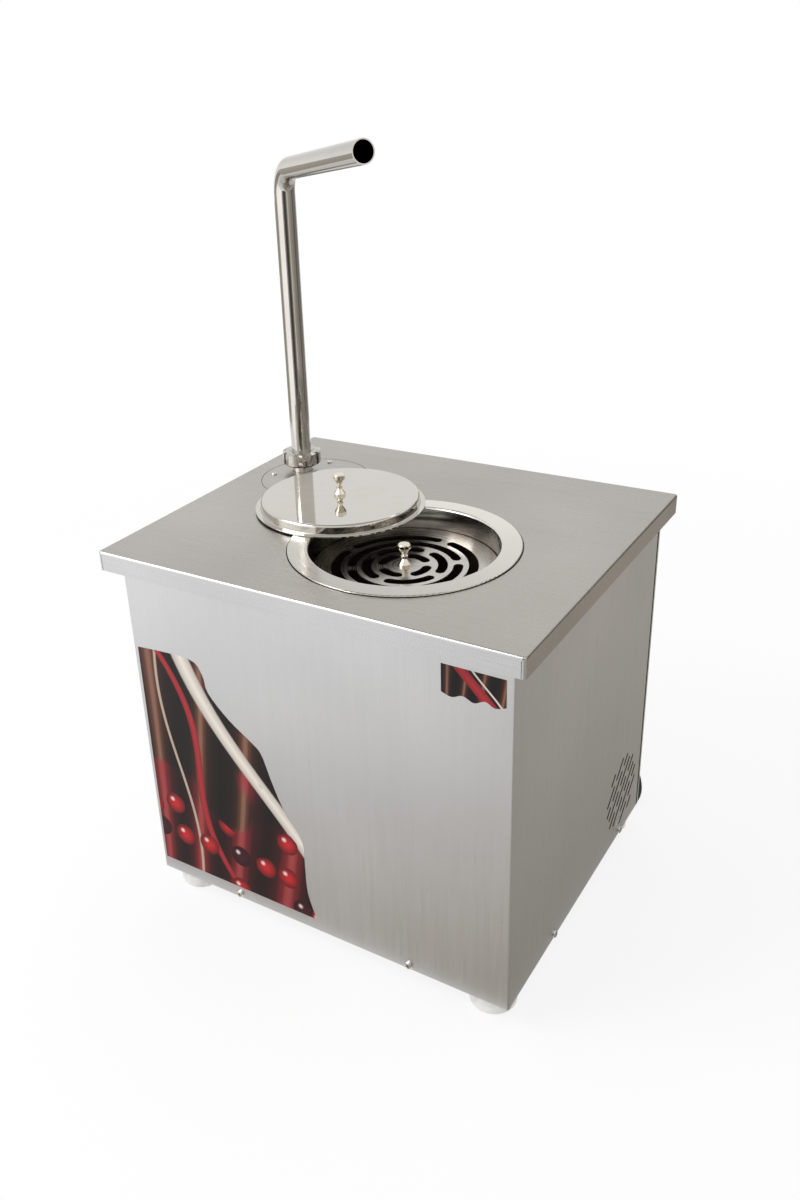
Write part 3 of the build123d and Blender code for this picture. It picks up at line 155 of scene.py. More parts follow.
class Shader:
    """Builds one node tree, a material's or a group's."""

    def __init__(self, tree):
        self.tree = tree

    def node(self, kind, **values):
        item = self.tree.nodes.new(kind)
        for name, value in values.items():
            setattr(item, name, value)
        return item

    def link(self, output, target):
        self.tree.links.new(output, target)

    def feed(self, target, value):
        """Links another node's socket to the target, or sets a plain value on it."""
        if hasattr(value, "is_linked"):
            self.link(value, target)
        elif target.type == "RGBA":
            target.default_value = (*value, 1.0)[:4]
        else:
            target.default_value = value

    def math(self, operation, first, second=None, clamp=False):
        item = self.node("ShaderNodeMath", operation=operation, use_clamp=clamp)
        self.feed(item.inputs[0], first)
        if second is not None:
            self.feed(item.inputs[1], second)
        return item.outputs[0]

    def vector(self, operation, first, second=None):
        item = self.node("ShaderNodeVectorMath", operation=operation)
        self.feed(item.inputs[0], first)
        if second is not None:
            self.feed(item.inputs[1], second)
        return item.outputs["Value" if operation in ("LENGTH", "DISTANCE", "DOT_PRODUCT") else "Vector"]

    def axes(self, vector):
        item = self.node("ShaderNodeSeparateXYZ")
        self.link(vector, item.inputs[0])
        return tuple(item.outputs)

    def joined(self, first, second):
        item = self.node("ShaderNodeCombineXYZ")
        self.link(first, item.inputs[0])
        self.link(second, item.inputs[1])
        return item.outputs[0]

    def spread(self, value, low, high, start=0.0, end=1.0):
        item = self.node("ShaderNodeMapRange")
        for name, number in (("Value", value), ("From Min", start), ("From Max", end), ("To Min", low),
                             ("To Max", high)):
            self.feed(item.inputs[name], number)
        return item.outputs["Result"]

    def swing(self, noise, low, high):
        """Spreads a noise, which seldom leaves 0.3 to 0.7, between two values."""
        return self.spread(noise, low, high, 0.3, 0.7)

    def blend(self, factor, first, second):
        item = self.node("ShaderNodeMix", data_type="RGBA")
        for index, value in ((0, factor), (6, first), (7, second)):
            self.feed(item.inputs[index], value)
        return item.outputs[2]

    def noise(self, vector, scale, detail=2.0, roughness=0.5, distortion=0.0):
        item = self.node("ShaderNodeTexNoise")
        for name, value in (("Vector", vector), ("Scale", scale), ("Detail", detail), ("Roughness", roughness),
                            ("Distortion", distortion)):
            self.feed(item.inputs[name], value)
        return item.outputs["Fac"]

    def ramp(self, value, stops):
        item = self.node("ShaderNodeValToRGB")
        scale = item.color_ramp
        while len(scale.elements) < len(stops):
            scale.elements.new(0.5)
        for element, (position, colour) in zip(scale.elements, stops):
            element.position = position
            element.color = (*colour, 1)
        self.link(value, item.inputs[0])
        return item.outputs[0]

    def place(self, group, vector, **values):
        """Puts a shared node group into the tree and hands out its outputs."""
        item = self.node("ShaderNodeGroup", node_tree=group)
        self.link(vector, item.inputs["Vector"])
        for name, value in values.items():
            item.inputs[name].default_value = value
        return item.outputs


def shared_group(name, inputs, outputs):
    """Turns a function that fills a node tree into one that builds the group once and hands it out."""
    def wrap(fill):
        def group():
            made = bpy.data.node_groups.get(name)
            if made:
                return made
            made = bpy.data.node_groups.new(name, "ShaderNodeTree")
            for label, kind, value in (("Vector", "NodeSocketVector", None), *inputs):
                socket = made.interface.new_socket(name=label, in_out="INPUT", socket_type=kind)
                if value is not None:
                    socket.default_value = value
            for label in outputs:
                made.interface.new_socket(name=label, in_out="OUTPUT", socket_type="NodeSocketFloat")
            shader = Shader(made)
            fill(shader, shader.node("NodeGroupInput").outputs, shader.node("NodeGroupOutput").inputs)
            return made
        return group
    return wrap


@shared_group("Brushed grain", [("Stretch", "NodeSocketVector", (1.0, 1.0, 1.0)),
                                ("Fineness", "NodeSocketFloat", 900.0)], ["Fine", "Streak", "Tone"])
def grain_group(shader, source, sink):
    """Brushed grain: fine lines, broad streaks and a slow change of tone."""
    stretched = shader.vector("MULTIPLY", source["Vector"], source["Stretch"])
    shader.link(shader.noise(stretched, source["Fineness"], 3.0), sink["Fine"])
    shader.link(shader.noise(stretched, 160.0, 3.0, 0.6), sink["Streak"])
    shader.link(shader.noise(source["Vector"], 3.2), sink["Tone"])


@shared_group("Smudges", [("Scale", "NodeSocketFloat", 14.0), ("Amount", "NodeSocketFloat", 0.5)], ["Mask"])
def smudge_group(shader, source, sink):
    """Wipe marks and finger smears: soft patches with a finer break-up inside."""
    patches = shader.noise(source["Vector"], source["Scale"], 4.0, distortion=0.8)
    finer = shader.noise(source["Vector"], 160.0, 3.0, 0.6)
    broken = shader.math("MULTIPLY", shader.spread(patches, 0.0, 1.0, 0.45, 0.75), shader.swing(finer, 0.4, 1.0))
    shader.link(shader.math("MULTIPLY", broken, source["Amount"], clamp=True), sink["Mask"])


@shared_group("Turned rings", [("Centre", "NodeSocketVector", (0.0, 0.0, 0.0))], ["Rings", "Sweep"])
def turned_group(shader, source, sink):
    """Fine rings left by spinning and polishing, round a vertical axis at a given centre."""
    offset = shader.vector("SUBTRACT", source["Vector"], source["Centre"])
    radius = shader.vector("LENGTH", shader.vector("MULTIPLY", offset, (1.0, 1.0, 0.0)))
    x, y, z = shader.axes(offset)
    shader.link(shader.noise(shader.joined(radius, z), 1400.0), sink["Rings"])
    turning = shader.joined(shader.math("ARCTAN2", y, x), shader.math("MULTIPLY", radius, 6.0))
    shader.link(shader.noise(turning, 2.2, 3.0), sink["Sweep"])


@shared_group("Rubbed edges", [("Width", "NodeSocketFloat", 0.0012), ("Amount", "NodeSocketFloat", 0.6)], ["Mask"])
def edge_group(shader, source, sink):
    """Edges rubbed bright: a mask from how far the rounded normal turns away from the face's own."""
    rounded = shader.node("ShaderNodeBevel", samples=4)
    shader.link(source["Width"], rounded.inputs["Radius"])
    own = shader.node("ShaderNodeNewGeometry").outputs["Normal"]
    edge = shader.spread(shader.vector("DOT_PRODUCT", rounded.outputs["Normal"], own), 1.0, 0.0, 0.86, 0.99)
    broken = shader.spread(shader.noise(source["Vector"], 90.0, 3.0, 0.6), 0.35, 1.0, 0.35, 0.6)
    worn = shader.math("MULTIPLY", edge, broken)
    shader.link(shader.math("MULTIPLY", worn, source["Amount"], clamp=True), sink["Mask"])


def new_material(name, metallic=0.0, coat=0.0):
    found = bpy.data.materials.get(name)
    if found:
        bpy.data.materials.remove(found)
    material = bpy.data.materials.new(name)
    material.use_nodes = True
    shader = Shader(material.node_tree)
    surface = material.node_tree.nodes["Principled BSDF"]
    surface.inputs["Metallic"].default_value = metallic
    surface.inputs["Coat Weight"].default_value = coat
    return material, shader, surface, shader.node("ShaderNodeTexCoord").outputs["Object"]


def dress(shader, surface, colour, roughness, height=None, strength=0.0, distance=0.0):
    """Feeds a surface's colour and roughness and, where there is a height, its bumps."""
    shader.feed(surface.inputs["Base Color"], colour)
    shader.feed(surface.inputs["Roughness"], roughness)
    if height is not None:
        bump = shader.node("ShaderNodeBump")
        bump.inputs["Strength"].default_value = strength
        bump.inputs["Distance"].default_value = distance
        shader.link(height, bump.inputs["Height"])
        shader.link(bump.outputs["Normal"], surface.inputs["Normal"])


def reopen(material):
    """The node tree of a made material, its surface, and the colour and roughness that it has so far."""
    surface = material.node_tree.nodes["Principled BSDF"]
    return (Shader(material.node_tree), surface, surface.inputs["Base Color"].links[0].from_socket,
            surface.inputs["Roughness"].links[0].from_socket)


def shade(colour, factor):
    return tuple(min(1.0, channel * factor) for channel in colour)


def brushed_steel(name, colour, stretch, roughness, low=0.88, smudges=0.5, edges=0.3):
    """Sheet steel with a straight grain; stretch is small along the grain and 1 across it."""
    material, shader, surface, spot = new_material(name, metallic=1.0)
    grain = shader.place(grain_group(), spot, Stretch=stretch)
    smudge = shader.place(smudge_group(), spot, Scale=9.0, Amount=smudges)
    rubbed = shader.place(edge_group(), spot, Amount=edges)
    tone = shader.blend(shader.swing(grain["Tone"], 0, 1), shade(colour, low), shade(colour, 1.06))
    streaked = shader.blend(shader.spread(grain["Streak"], 0.0, 0.13, 0.35, 0.7), tone, shade(colour, 0.82))
    dull = shader.math("ADD", shader.swing(grain["Fine"], roughness - 0.09, roughness + 0.09),
                       shader.math("MULTIPLY", smudge["Mask"], 0.14), clamp=True)
    dress(shader, surface, shader.blend(rubbed["Mask"], streaked, shade(colour, 1.3)), dull,
          grain["Fine"], 0.16, 0.0002)
    return material


def polished_steel(name, colour, roughness, centre=None, ring_depth=0.06, sweep_depth=0.1):
    """Bright polish with faint rub marks, turned rings round a centre, and finger smears."""
    material, shader, surface, spot = new_material(name, metallic=1.0)
    smudge = shader.place(smudge_group(), spot, Scale=26.0, Amount=0.6)
    if centre is None:
        lines, sweep = shader.noise(spot, 260.0, 3.0, 0.6), shader.noise(spot, 14.0)
    else:
        turned = shader.place(turned_group(), spot, Centre=(*centre, 0.0))
        lines, sweep = turned["Rings"], turned["Sweep"]
    tone = shader.blend(shader.swing(sweep, 0, 1), shade(colour, 1 - sweep_depth),
                        shade(colour, 1 + sweep_depth * 0.8))
    marked = shader.blend(shader.math("MULTIPLY", smudge["Mask"], 0.4), tone, shade((0.62, 0.57, 0.5), 0.85))
    dull = shader.math("ADD", shader.swing(lines, roughness * 0.6, roughness * 1.6),
                       shader.math("MULTIPLY", smudge["Mask"], 0.10), clamp=True)
    dress(shader, surface, marked, dull, lines, ring_depth, 0.0001)
    return material


def film_and_painted_shade_steel(name, colour, roughness, centre, level, film_and_shade):
    """Spun steel with a near-black coat below a level, both set chocolate and painted shade under the grate, thin runs
    above it, and a flange with painted shade at the front and painted light at the back.
    """
    material = polished_steel(name, colour, roughness, centre)
    shader, surface, turned, dull = reopen(material)
    spot = shader.node("ShaderNodeTexCoord").outputs["Object"]
    _, y, z = shader.axes(spot)
    runs = shader.noise(shader.vector("MULTIPLY", spot, (60.0, 60.0, 5.0)), 1.0, 3.0, 0.6)
    edge = shader.math("ADD", z, shader.swing(runs, -0.002, 0.002))
    # The near-black coat below the level is set chocolate and also painted shade under the grate.
    cover = shader.spread(edge, 1.0, 0.0, level - 0.001, level + 0.001)
    stain = shader.math("MULTIPLY", shader.spread(edge, 0.85, 0.0, level + 0.004, level + 0.024),
                        shader.spread(runs, 0.6, 1.0, 0.35, 0.65))
    # Painted light and shade: the flange is darker at the front and lighter at the back.
    depth = shader.spread(y, 0.0, 1.0, centre[1] - 0.13, centre[1] + 0.13)
    flange = shader.blend(depth, shade(colour, 0.80), shade(colour, 1.34))
    rimmed = shader.blend(shader.spread(z, 0.0, 0.8, TOP - 0.003, TOP - 0.001), turned, flange)
    stained = shader.blend(stain, rimmed, (0.20, 0.165, 0.13))
    clots = shader.noise(spot, 45.0, 4.0, 0.6)
    brown = shader.blend(shader.swing(clots, 0, 1), shade(film_and_shade, 0.6), shade(film_and_shade, 1.5))
    mixed = shader.node("ShaderNodeMix", data_type="FLOAT")
    for index, value in ((0, cover), (2, dull), (3, shader.swing(clots, 0.25, 0.55))):
        shader.link(value, mixed.inputs[index])
    dress(shader, surface, shader.blend(cover, stained, brown), mixed.outputs[0])
    shader.link(shader.spread(cover, 1.0, 0.0), surface.inputs["Metallic"])
    return material


def machined_metal(name, colour, roughness, scale=700.0, depth=0.15):
    """Turned or cast metal: fine pits, slight stains."""
    material, shader, surface, spot = new_material(name, metallic=1.0)
    pits = shader.noise(spot, scale, 4.0, 0.6)
    stains = shader.place(smudge_group(), spot, Scale=30.0, Amount=0.7)
    dress(shader, surface, shader.blend(stains["Mask"], colour, shade(colour, 0.6)),
          shader.swing(pits, roughness - 0.1, roughness + 0.15), pits, depth, 0.0004)
    return material


def moulded_plastic(name, colour, roughness, scale=1600.0, depth=0.12, dirt=0.15, dirt_colour=(0.25, 0.22, 0.18)):
    """Moulded plastic or rubber: fine leathery grain with patches of dust."""
    material, shader, surface, spot = new_material(name)
    grain = shader.noise(spot, scale, 3.0, 0.6)
    dust = shader.place(smudge_group(), spot, Scale=40.0, Amount=dirt)
    patch = shader.spread(shader.noise(spot, 25.0), 0, 1, 0.35, 0.65)
    varied = shader.blend(patch, shade(colour, 0.92), shade(colour, 1.05))
    dress(shader, surface, shader.blend(dust["Mask"], varied, dirt_colour),
          shader.swing(grain, roughness - 0.07, roughness + 0.1), grain, depth, 0.0002)
    return material


def felt(name, colour):
    """Pressed white insulation felt with matted fibres."""
    material, shader, surface, spot = new_material(name)
    fibres = shader.noise(spot, 420.0, 6.0, 0.75, 1.5)
    clumps = shader.swing(shader.noise(spot, 45.0, 3.0), 0, 1)
    surface.inputs["Sheen Weight"].default_value = 0.3
    dress(shader, surface, shader.blend(clumps, shade(colour, 0.8), colour), 0.95, fibres, 0.7, 0.0012)
    return material


def painted_shade_black(name):
    """Painted shade for the depth seen through a slot or a seam: matt, nearly black, with a little dust."""
    material, shader, surface, spot = new_material(name)
    dust = shader.place(smudge_group(), spot, Scale=50.0, Amount=0.5)
    surface.inputs["Specular IOR Level"].default_value = 0.0
    dress(shader, surface, shader.blend(dust["Mask"], (0.006, 0.0055, 0.005), (0.02, 0.018, 0.015)), 1.0)
    return material


def tinted_lens(name):
    """Dark red display window with fine wipe marks on its gloss."""
    material, shader, surface, spot = new_material(name, coat=0.5)
    marks = shader.place(smudge_group(), spot, Scale=60.0, Amount=0.5)
    dress(shader, surface, shader.blend(marks["Mask"], (0.055, 0.004, 0.004), (0.09, 0.02, 0.018)),
          shader.spread(marks["Mask"], 0.05, 0.25))
    return material


def ribbon(shader, print_colour, across, up, slope, bend, offset, width, colour):
    """Lays a pale ribbon with a darker edge over a print."""
    sway = shader.math("MULTIPLY", shader.math("SINE", shader.math("MULTIPLY", up, 1.7)), bend)
    line = shader.math("ADD", shader.math("ADD", across, shader.math("MULTIPLY", up, slope)), sway)
    away = shader.math("ABSOLUTE", shader.math("SUBTRACT", line, offset))
    tone = shader.blend(shader.spread(away, 1.0, 0.0, 0.0, width), shade(colour, 0.55), colour)
    return shader.blend(shader.spread(away, 1.0, 0.0, width * 0.8, width), print_colour, tone)


def drops(shader, print_colour, flat, depth, size, top):
    """Lays round glossy drops, red or dark, over the part of a print that lies below a level."""
    cells = shader.node("ShaderNodeTexVoronoi", voronoi_dimensions="2D")
    cells.inputs["Scale"].default_value = size
    cells.inputs["Randomness"].default_value = 0.6
    shader.link(flat, cells.inputs["Vector"])
    away = cells.outputs["Distance"]
    inside = shader.vector("SUBTRACT", flat, cells.outputs["Position"])
    glint = shader.vector("DISTANCE", inside, (-0.10 / size, 0.12 / size, 0))
    pick = shader.node("ShaderNodeSeparateColor")
    shader.link(cells.outputs["Color"], pick.inputs[0])
    zone = shader.math("MULTIPLY", shader.spread(depth, 1.0, 0.0, top - 0.02, top + 0.02),
                       shader.math("GREATER_THAN", pick.outputs[1], 0.35))
    ball = shader.math("MULTIPLY", shader.spread(away, 1.0, 0.0, 0.34, 0.36), zone)
    ripe = shader.blend(shader.math("GREATER_THAN", pick.outputs[0], 0.62), (0.52, 0.012, 0.018),
                        (0.05, 0.004, 0.012))
    edge = shader.blend(shader.spread(away, 0.0, 0.85, 0.08, 0.36), ripe, (0.02, 0.002, 0.003))
    lit = shader.blend(shader.spread(glint, 0.9, 0.0, 0.02 / size, 0.10 / size), edge, (0.95, 0.72, 0.66))
    return shader.blend(ball, print_colour, lit)


def flowing_vinyl(name, centre, scale, level, bands, drop_size=None, drop_top=0):
    """Printed vinyl: satin brown folds over deep red ones, pale ribbons and round glossy drops."""
    material, shader, surface, spot = new_material(name, coat=0.1)
    surface.inputs["Specular IOR Level"].default_value = 0.22
    moved = shader.vector("SUBTRACT", spot, centre)
    across, _, up = shader.axes(shader.vector("MULTIPLY", moved, (scale, 0.0, scale)))
    flat = shader.joined(across, up)
    folds = shader.node("ShaderNodeTexWave", wave_type="BANDS", bands_direction="X")
    for label, value in (("Scale", 0.55), ("Distortion", 7.0), ("Detail", 1.0), ("Detail Scale", 0.6)):
        folds.inputs[label].default_value = value
    shader.link(shader.vector("MULTIPLY", flat, (1.0, 0.45, 1.0)), folds.inputs["Vector"])
    brown = shader.ramp(folds.outputs["Fac"], [
        (0.0, (0.004, 0.002, 0.002)), (0.5, (0.012, 0.004, 0.003)), (0.82, (0.035, 0.010, 0.006)),
        (0.96, (0.11, 0.038, 0.020)), (1.0, (0.24, 0.11, 0.07))])
    red = shader.ramp(folds.outputs["Fac"], [
        (0.0, (0.012, 0.001, 0.002)), (0.55, (0.045, 0.003, 0.006)), (0.9, (0.17, 0.010, 0.014)),
        (1.0, (0.34, 0.045, 0.045))])
    depth = shader.math("ADD", up, shader.swing(shader.noise(flat, 0.9, 1.0), -0.5, 0.5))
    print_colour = shader.blend(shader.spread(depth, 1.0, 0.0, level - 0.06, level + 0.06), brown, red)
    for band in bands:
        print_colour = ribbon(shader, print_colour, across, up, *band)
    if drop_size:
        print_colour = drops(shader, print_colour, flat, depth, drop_size, drop_top)
    scuffs = shader.place(smudge_group(), spot, Scale=22.0, Amount=0.6)
    dress(shader, surface, print_colour, shader.spread(scuffs["Mask"], 0.30, 0.5))
    return material


def finish_nodes(material, *names):
    for name in names:
        mesh = NODES[name].data
        mesh.materials.clear()
        mesh.materials.append(material)
        for face in mesh.polygons:
            face.material_index = 0


def refinish(name, material, wanted):
    """Gives another finish to the faces of a node that a test picks."""
    mesh = NODES[name].data
    mesh.materials.append(material)
    slot = len(mesh.materials) - 1
    for face in mesh.polygons:
        if wanted(face):
            face.material_index = slot


def add(name, data):
    item = bpy.data.objects.new(name, data)
    bpy.context.scene.collection.objects.link(item)
    return item


def plain_mesh(name, corners, faces):
    mesh = bpy.data.meshes.new(name)
    mesh.from_pydata(corners, [], faces)
    return mesh


def evaluated_mesh(item):
    """A mesh of an object with its modifiers or its curve worked out."""
    bpy.context.view_layer.update()
    return bpy.data.meshes.new_from_object(item.evaluated_get(bpy.context.evaluated_depsgraph_get()))


def polygon(content, corners):
    return content.faces.new([content.verts.new(corner) for corner in corners])


def tube_faces(content, before, after):
    """Joins two loops of as many corners by a band of faces."""
    for step in range(len(before)):
        beside = (step + 1) % len(before)
        content.faces.new((before[step], before[beside], after[beside], after[step]))


def flat_ring(content, centre, inner, width, level=TOP + 0.00006, steps=128):
    """A thin flat ring, facing up."""
    turns = [2 * math.pi * step / steps for step in range(steps)]
    bore, rim = ([content.verts.new((centre[0] + radius * math.cos(turn), centre[1] + radius * math.sin(turn), level))
                  for turn in turns] for radius in (inner, inner + width))
    tube_faces(content, rim, bore)


def new_piece(name, build, material):
    """Makes a mesh piece with bmesh and lets it ride on the machine."""
    mesh = bpy.data.meshes.new(name)
    content = bmesh.new()
    build(content)
    bmesh.ops.recalc_face_normals(content, faces=content.faces)
    content.to_mesh(mesh)
    content.free()
    mesh.materials.append(material)
    piece = add(name, mesh)
    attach(piece, "machine")
    return piece


def direct_rays(shader):
    """1 for what is seen, also in a mirror or through a lens, and 0 for light that falls on things."""
    rays = shader.node("ShaderNodeLightPath").outputs
    return shader.math("MAXIMUM", rays["Is Camera Ray"],
                       shader.math("MAXIMUM", rays["Is Glossy Ray"], rays["Is Transmission Ray"]))


def card(name, corners, near, far=None, start=(0, 0, 0), end=(0, 1, 0)):
    """A card beside the set that glows with a flat colour, though it is no lamp, and is seen only in the metal's
    reflections; far gives it a second colour at the end.
    """
    data = plain_mesh(name, corners, [(0, 1, 2, 3)])
    board = add(name, data)
    for kind in ("camera", "diffuse", "shadow", "transmission", "volume_scatter"):
        setattr(board, "visible_" + kind, False)
    paint = bpy.data.materials.new(name)
    paint.use_nodes = True
    shader = Shader(paint.node_tree)
    light = shader.node("ShaderNodeEmission")
    light.inputs["Color"].default_value = (*near, 1)
    if far:
        along = Vector(end) - Vector(start)
        along /= along.length_squared
        run = shader.vector("DOT_PRODUCT", shader.node("ShaderNodeTexCoord").outputs["Object"], along)
        begin = Vector(start).dot(along)
        shader.link(shader.blend(shader.spread(run, 0.0, 1.0, begin, begin + 1), near, far), light.inputs["Color"])
    shader.link(light.outputs[0], paint.node_tree.nodes["Material Output"].inputs["Surface"])
    data.materials.append(paint)


def level_card(name, low, high, height, *look):
    card(name, [(low[0], low[1], height), (high[0], low[1], height), (high[0], high[1], height),
                (low[0], high[1], height)], *look)


class MACHINE_OT_stage(bpy.types.Operator):
    """Adds the camera, the lamps, the world, the floor and the glowing cards that the metal reflects"""
    bl_idname = "machine.stage"
    bl_label = "Camera, light and floor"

    def execute(self, context):
        scene = context.scene
        stage = scene.machine_stage
        scene.view_settings.view_transform = "Standard"
        self.camera(scene)
        self.lamp("key_lamp", stage.key_power, 1.6, (-1.5, -1.5, 2.2), (0, 0, 0.35))
        self.lamp("top_lamp", stage.fill_power, 2.0, (0.1, 0.6, 2.6), (0, 0, 0.4))
        self.floor(stage.floor)
        self.cards(stage)
        self.world(scene)
        return {"FINISHED"}

    def camera(self, scene):
        data = bpy.data.cameras.new("photo_camera")
        data.sensor_fit = "VERTICAL"
        data.sensor_height = 36.0
        data.sensor_width = 24.0
        data.lens = 33.207
        data.shift_x = 0.0553
        data.shift_y = -0.0199
        data.clip_end = 50
        scene.camera = add("photo_camera", data)
        turn = Matrix.Identity(4)
        for degrees, axis in ((34.08, "Z"), (64.45, "X"), (-3.21, "Z")):
            turn = turn @ Matrix.Rotation(math.radians(degrees), 4, axis)
        scene.camera.matrix_world = Matrix.Translation((0.59904, -1.01868, 0.98068)) @ turn

    def lamp(self, name, power, size, position, target):
        data = bpy.data.lights.new(name, "AREA")
        data.energy = power
        data.shape = "SQUARE"
        data.size = size
        item = add(name, data)
        item.location = position
        item.rotation_euler = (Vector(target) - Vector(position)).to_track_quat("-Z", "Y").to_euler()

    def floor(self, colour):
        """A floor that looks whiter than its light the farther it lies from the machine."""
        floor = plain_mesh("floor", [(-6, -6, 0), (6, -6, 0), (6, 6, 0), (-6, 6, 0)], [(0, 1, 2, 3)])
        add("floor", floor)
        material, shader, surface, spot = new_material("studio_floor")
        surface.inputs["Specular IOR Level"].default_value = 0.1
        dress(shader, surface, tuple(colour), 0.9)
        glow = shader.node("ShaderNodeEmission")
        glow.inputs["Strength"].default_value = 1.0
        share = shader.spread(shader.vector("LENGTH", spot), 0.81, 1.0, 0.7, 1.8)
        split = shader.node("ShaderNodeMixShader")
        shader.link(shader.math("MULTIPLY", direct_rays(shader), share), split.inputs[0])
        shader.link(surface.outputs[0], split.inputs[1])
        shader.link(glow.outputs[0], split.inputs[2])
        shader.link(split.outputs[0], material.node_tree.nodes["Material Output"].inputs["Surface"])
        floor.materials.append(material)

    def cards(self, stage):
        level_card("right_floor_card", (0.25, -0.9), (1.6, 2.2), 0.003, shade(stage.right_card, 0.78),
                   shade(stage.right_card, 1.25), (0.25, 0.0, 0), (0.85, 0.35, 0))
        level_card("front_floor_card", (-1.6, -1.3), (0.6, -0.225), 0.003, tuple(stage.front_card),
                   (1, 1, 1), (0.16, -0.225, 0), (-0.22, -0.88, 0))
        for number, (start, end, height, tone) in enumerate(RING_CARDS):
            near, far = ((TUBE[0] + RING_RADIUS * math.cos(math.radians(turn)),
                          TUBE[1] + RING_RADIUS * math.sin(math.radians(turn))) for turn in (start, end))
            tint = (1.0, 1.0, 1.0) if tone > 0.9 else (1.0, 0.94, 0.865)
            card("ring_card_%02d" % number, [(*near, 0.004), (*far, 0.004), (*far, height), (*near, height)],
                 tuple(tone * part for part in tint))
        level_card("overhead_card", (-1.2, -0.8), (1.4, 1.8), 2.4, (0.50, 0.48, 0.45))

    def world(self, scene):
        """A white world that lights things less than it is seen."""
        world = bpy.data.worlds.new("studio")
        world.use_nodes = True
        scene.world = world
        sky = Shader(world.node_tree)
        back = world.node_tree.nodes["Background"]
        back.inputs["Color"].default_value = (1, 1, 1, 1)
        sky.link(sky.spread(direct_rays(sky), 0.62, 1.0), back.inputs["Strength"])


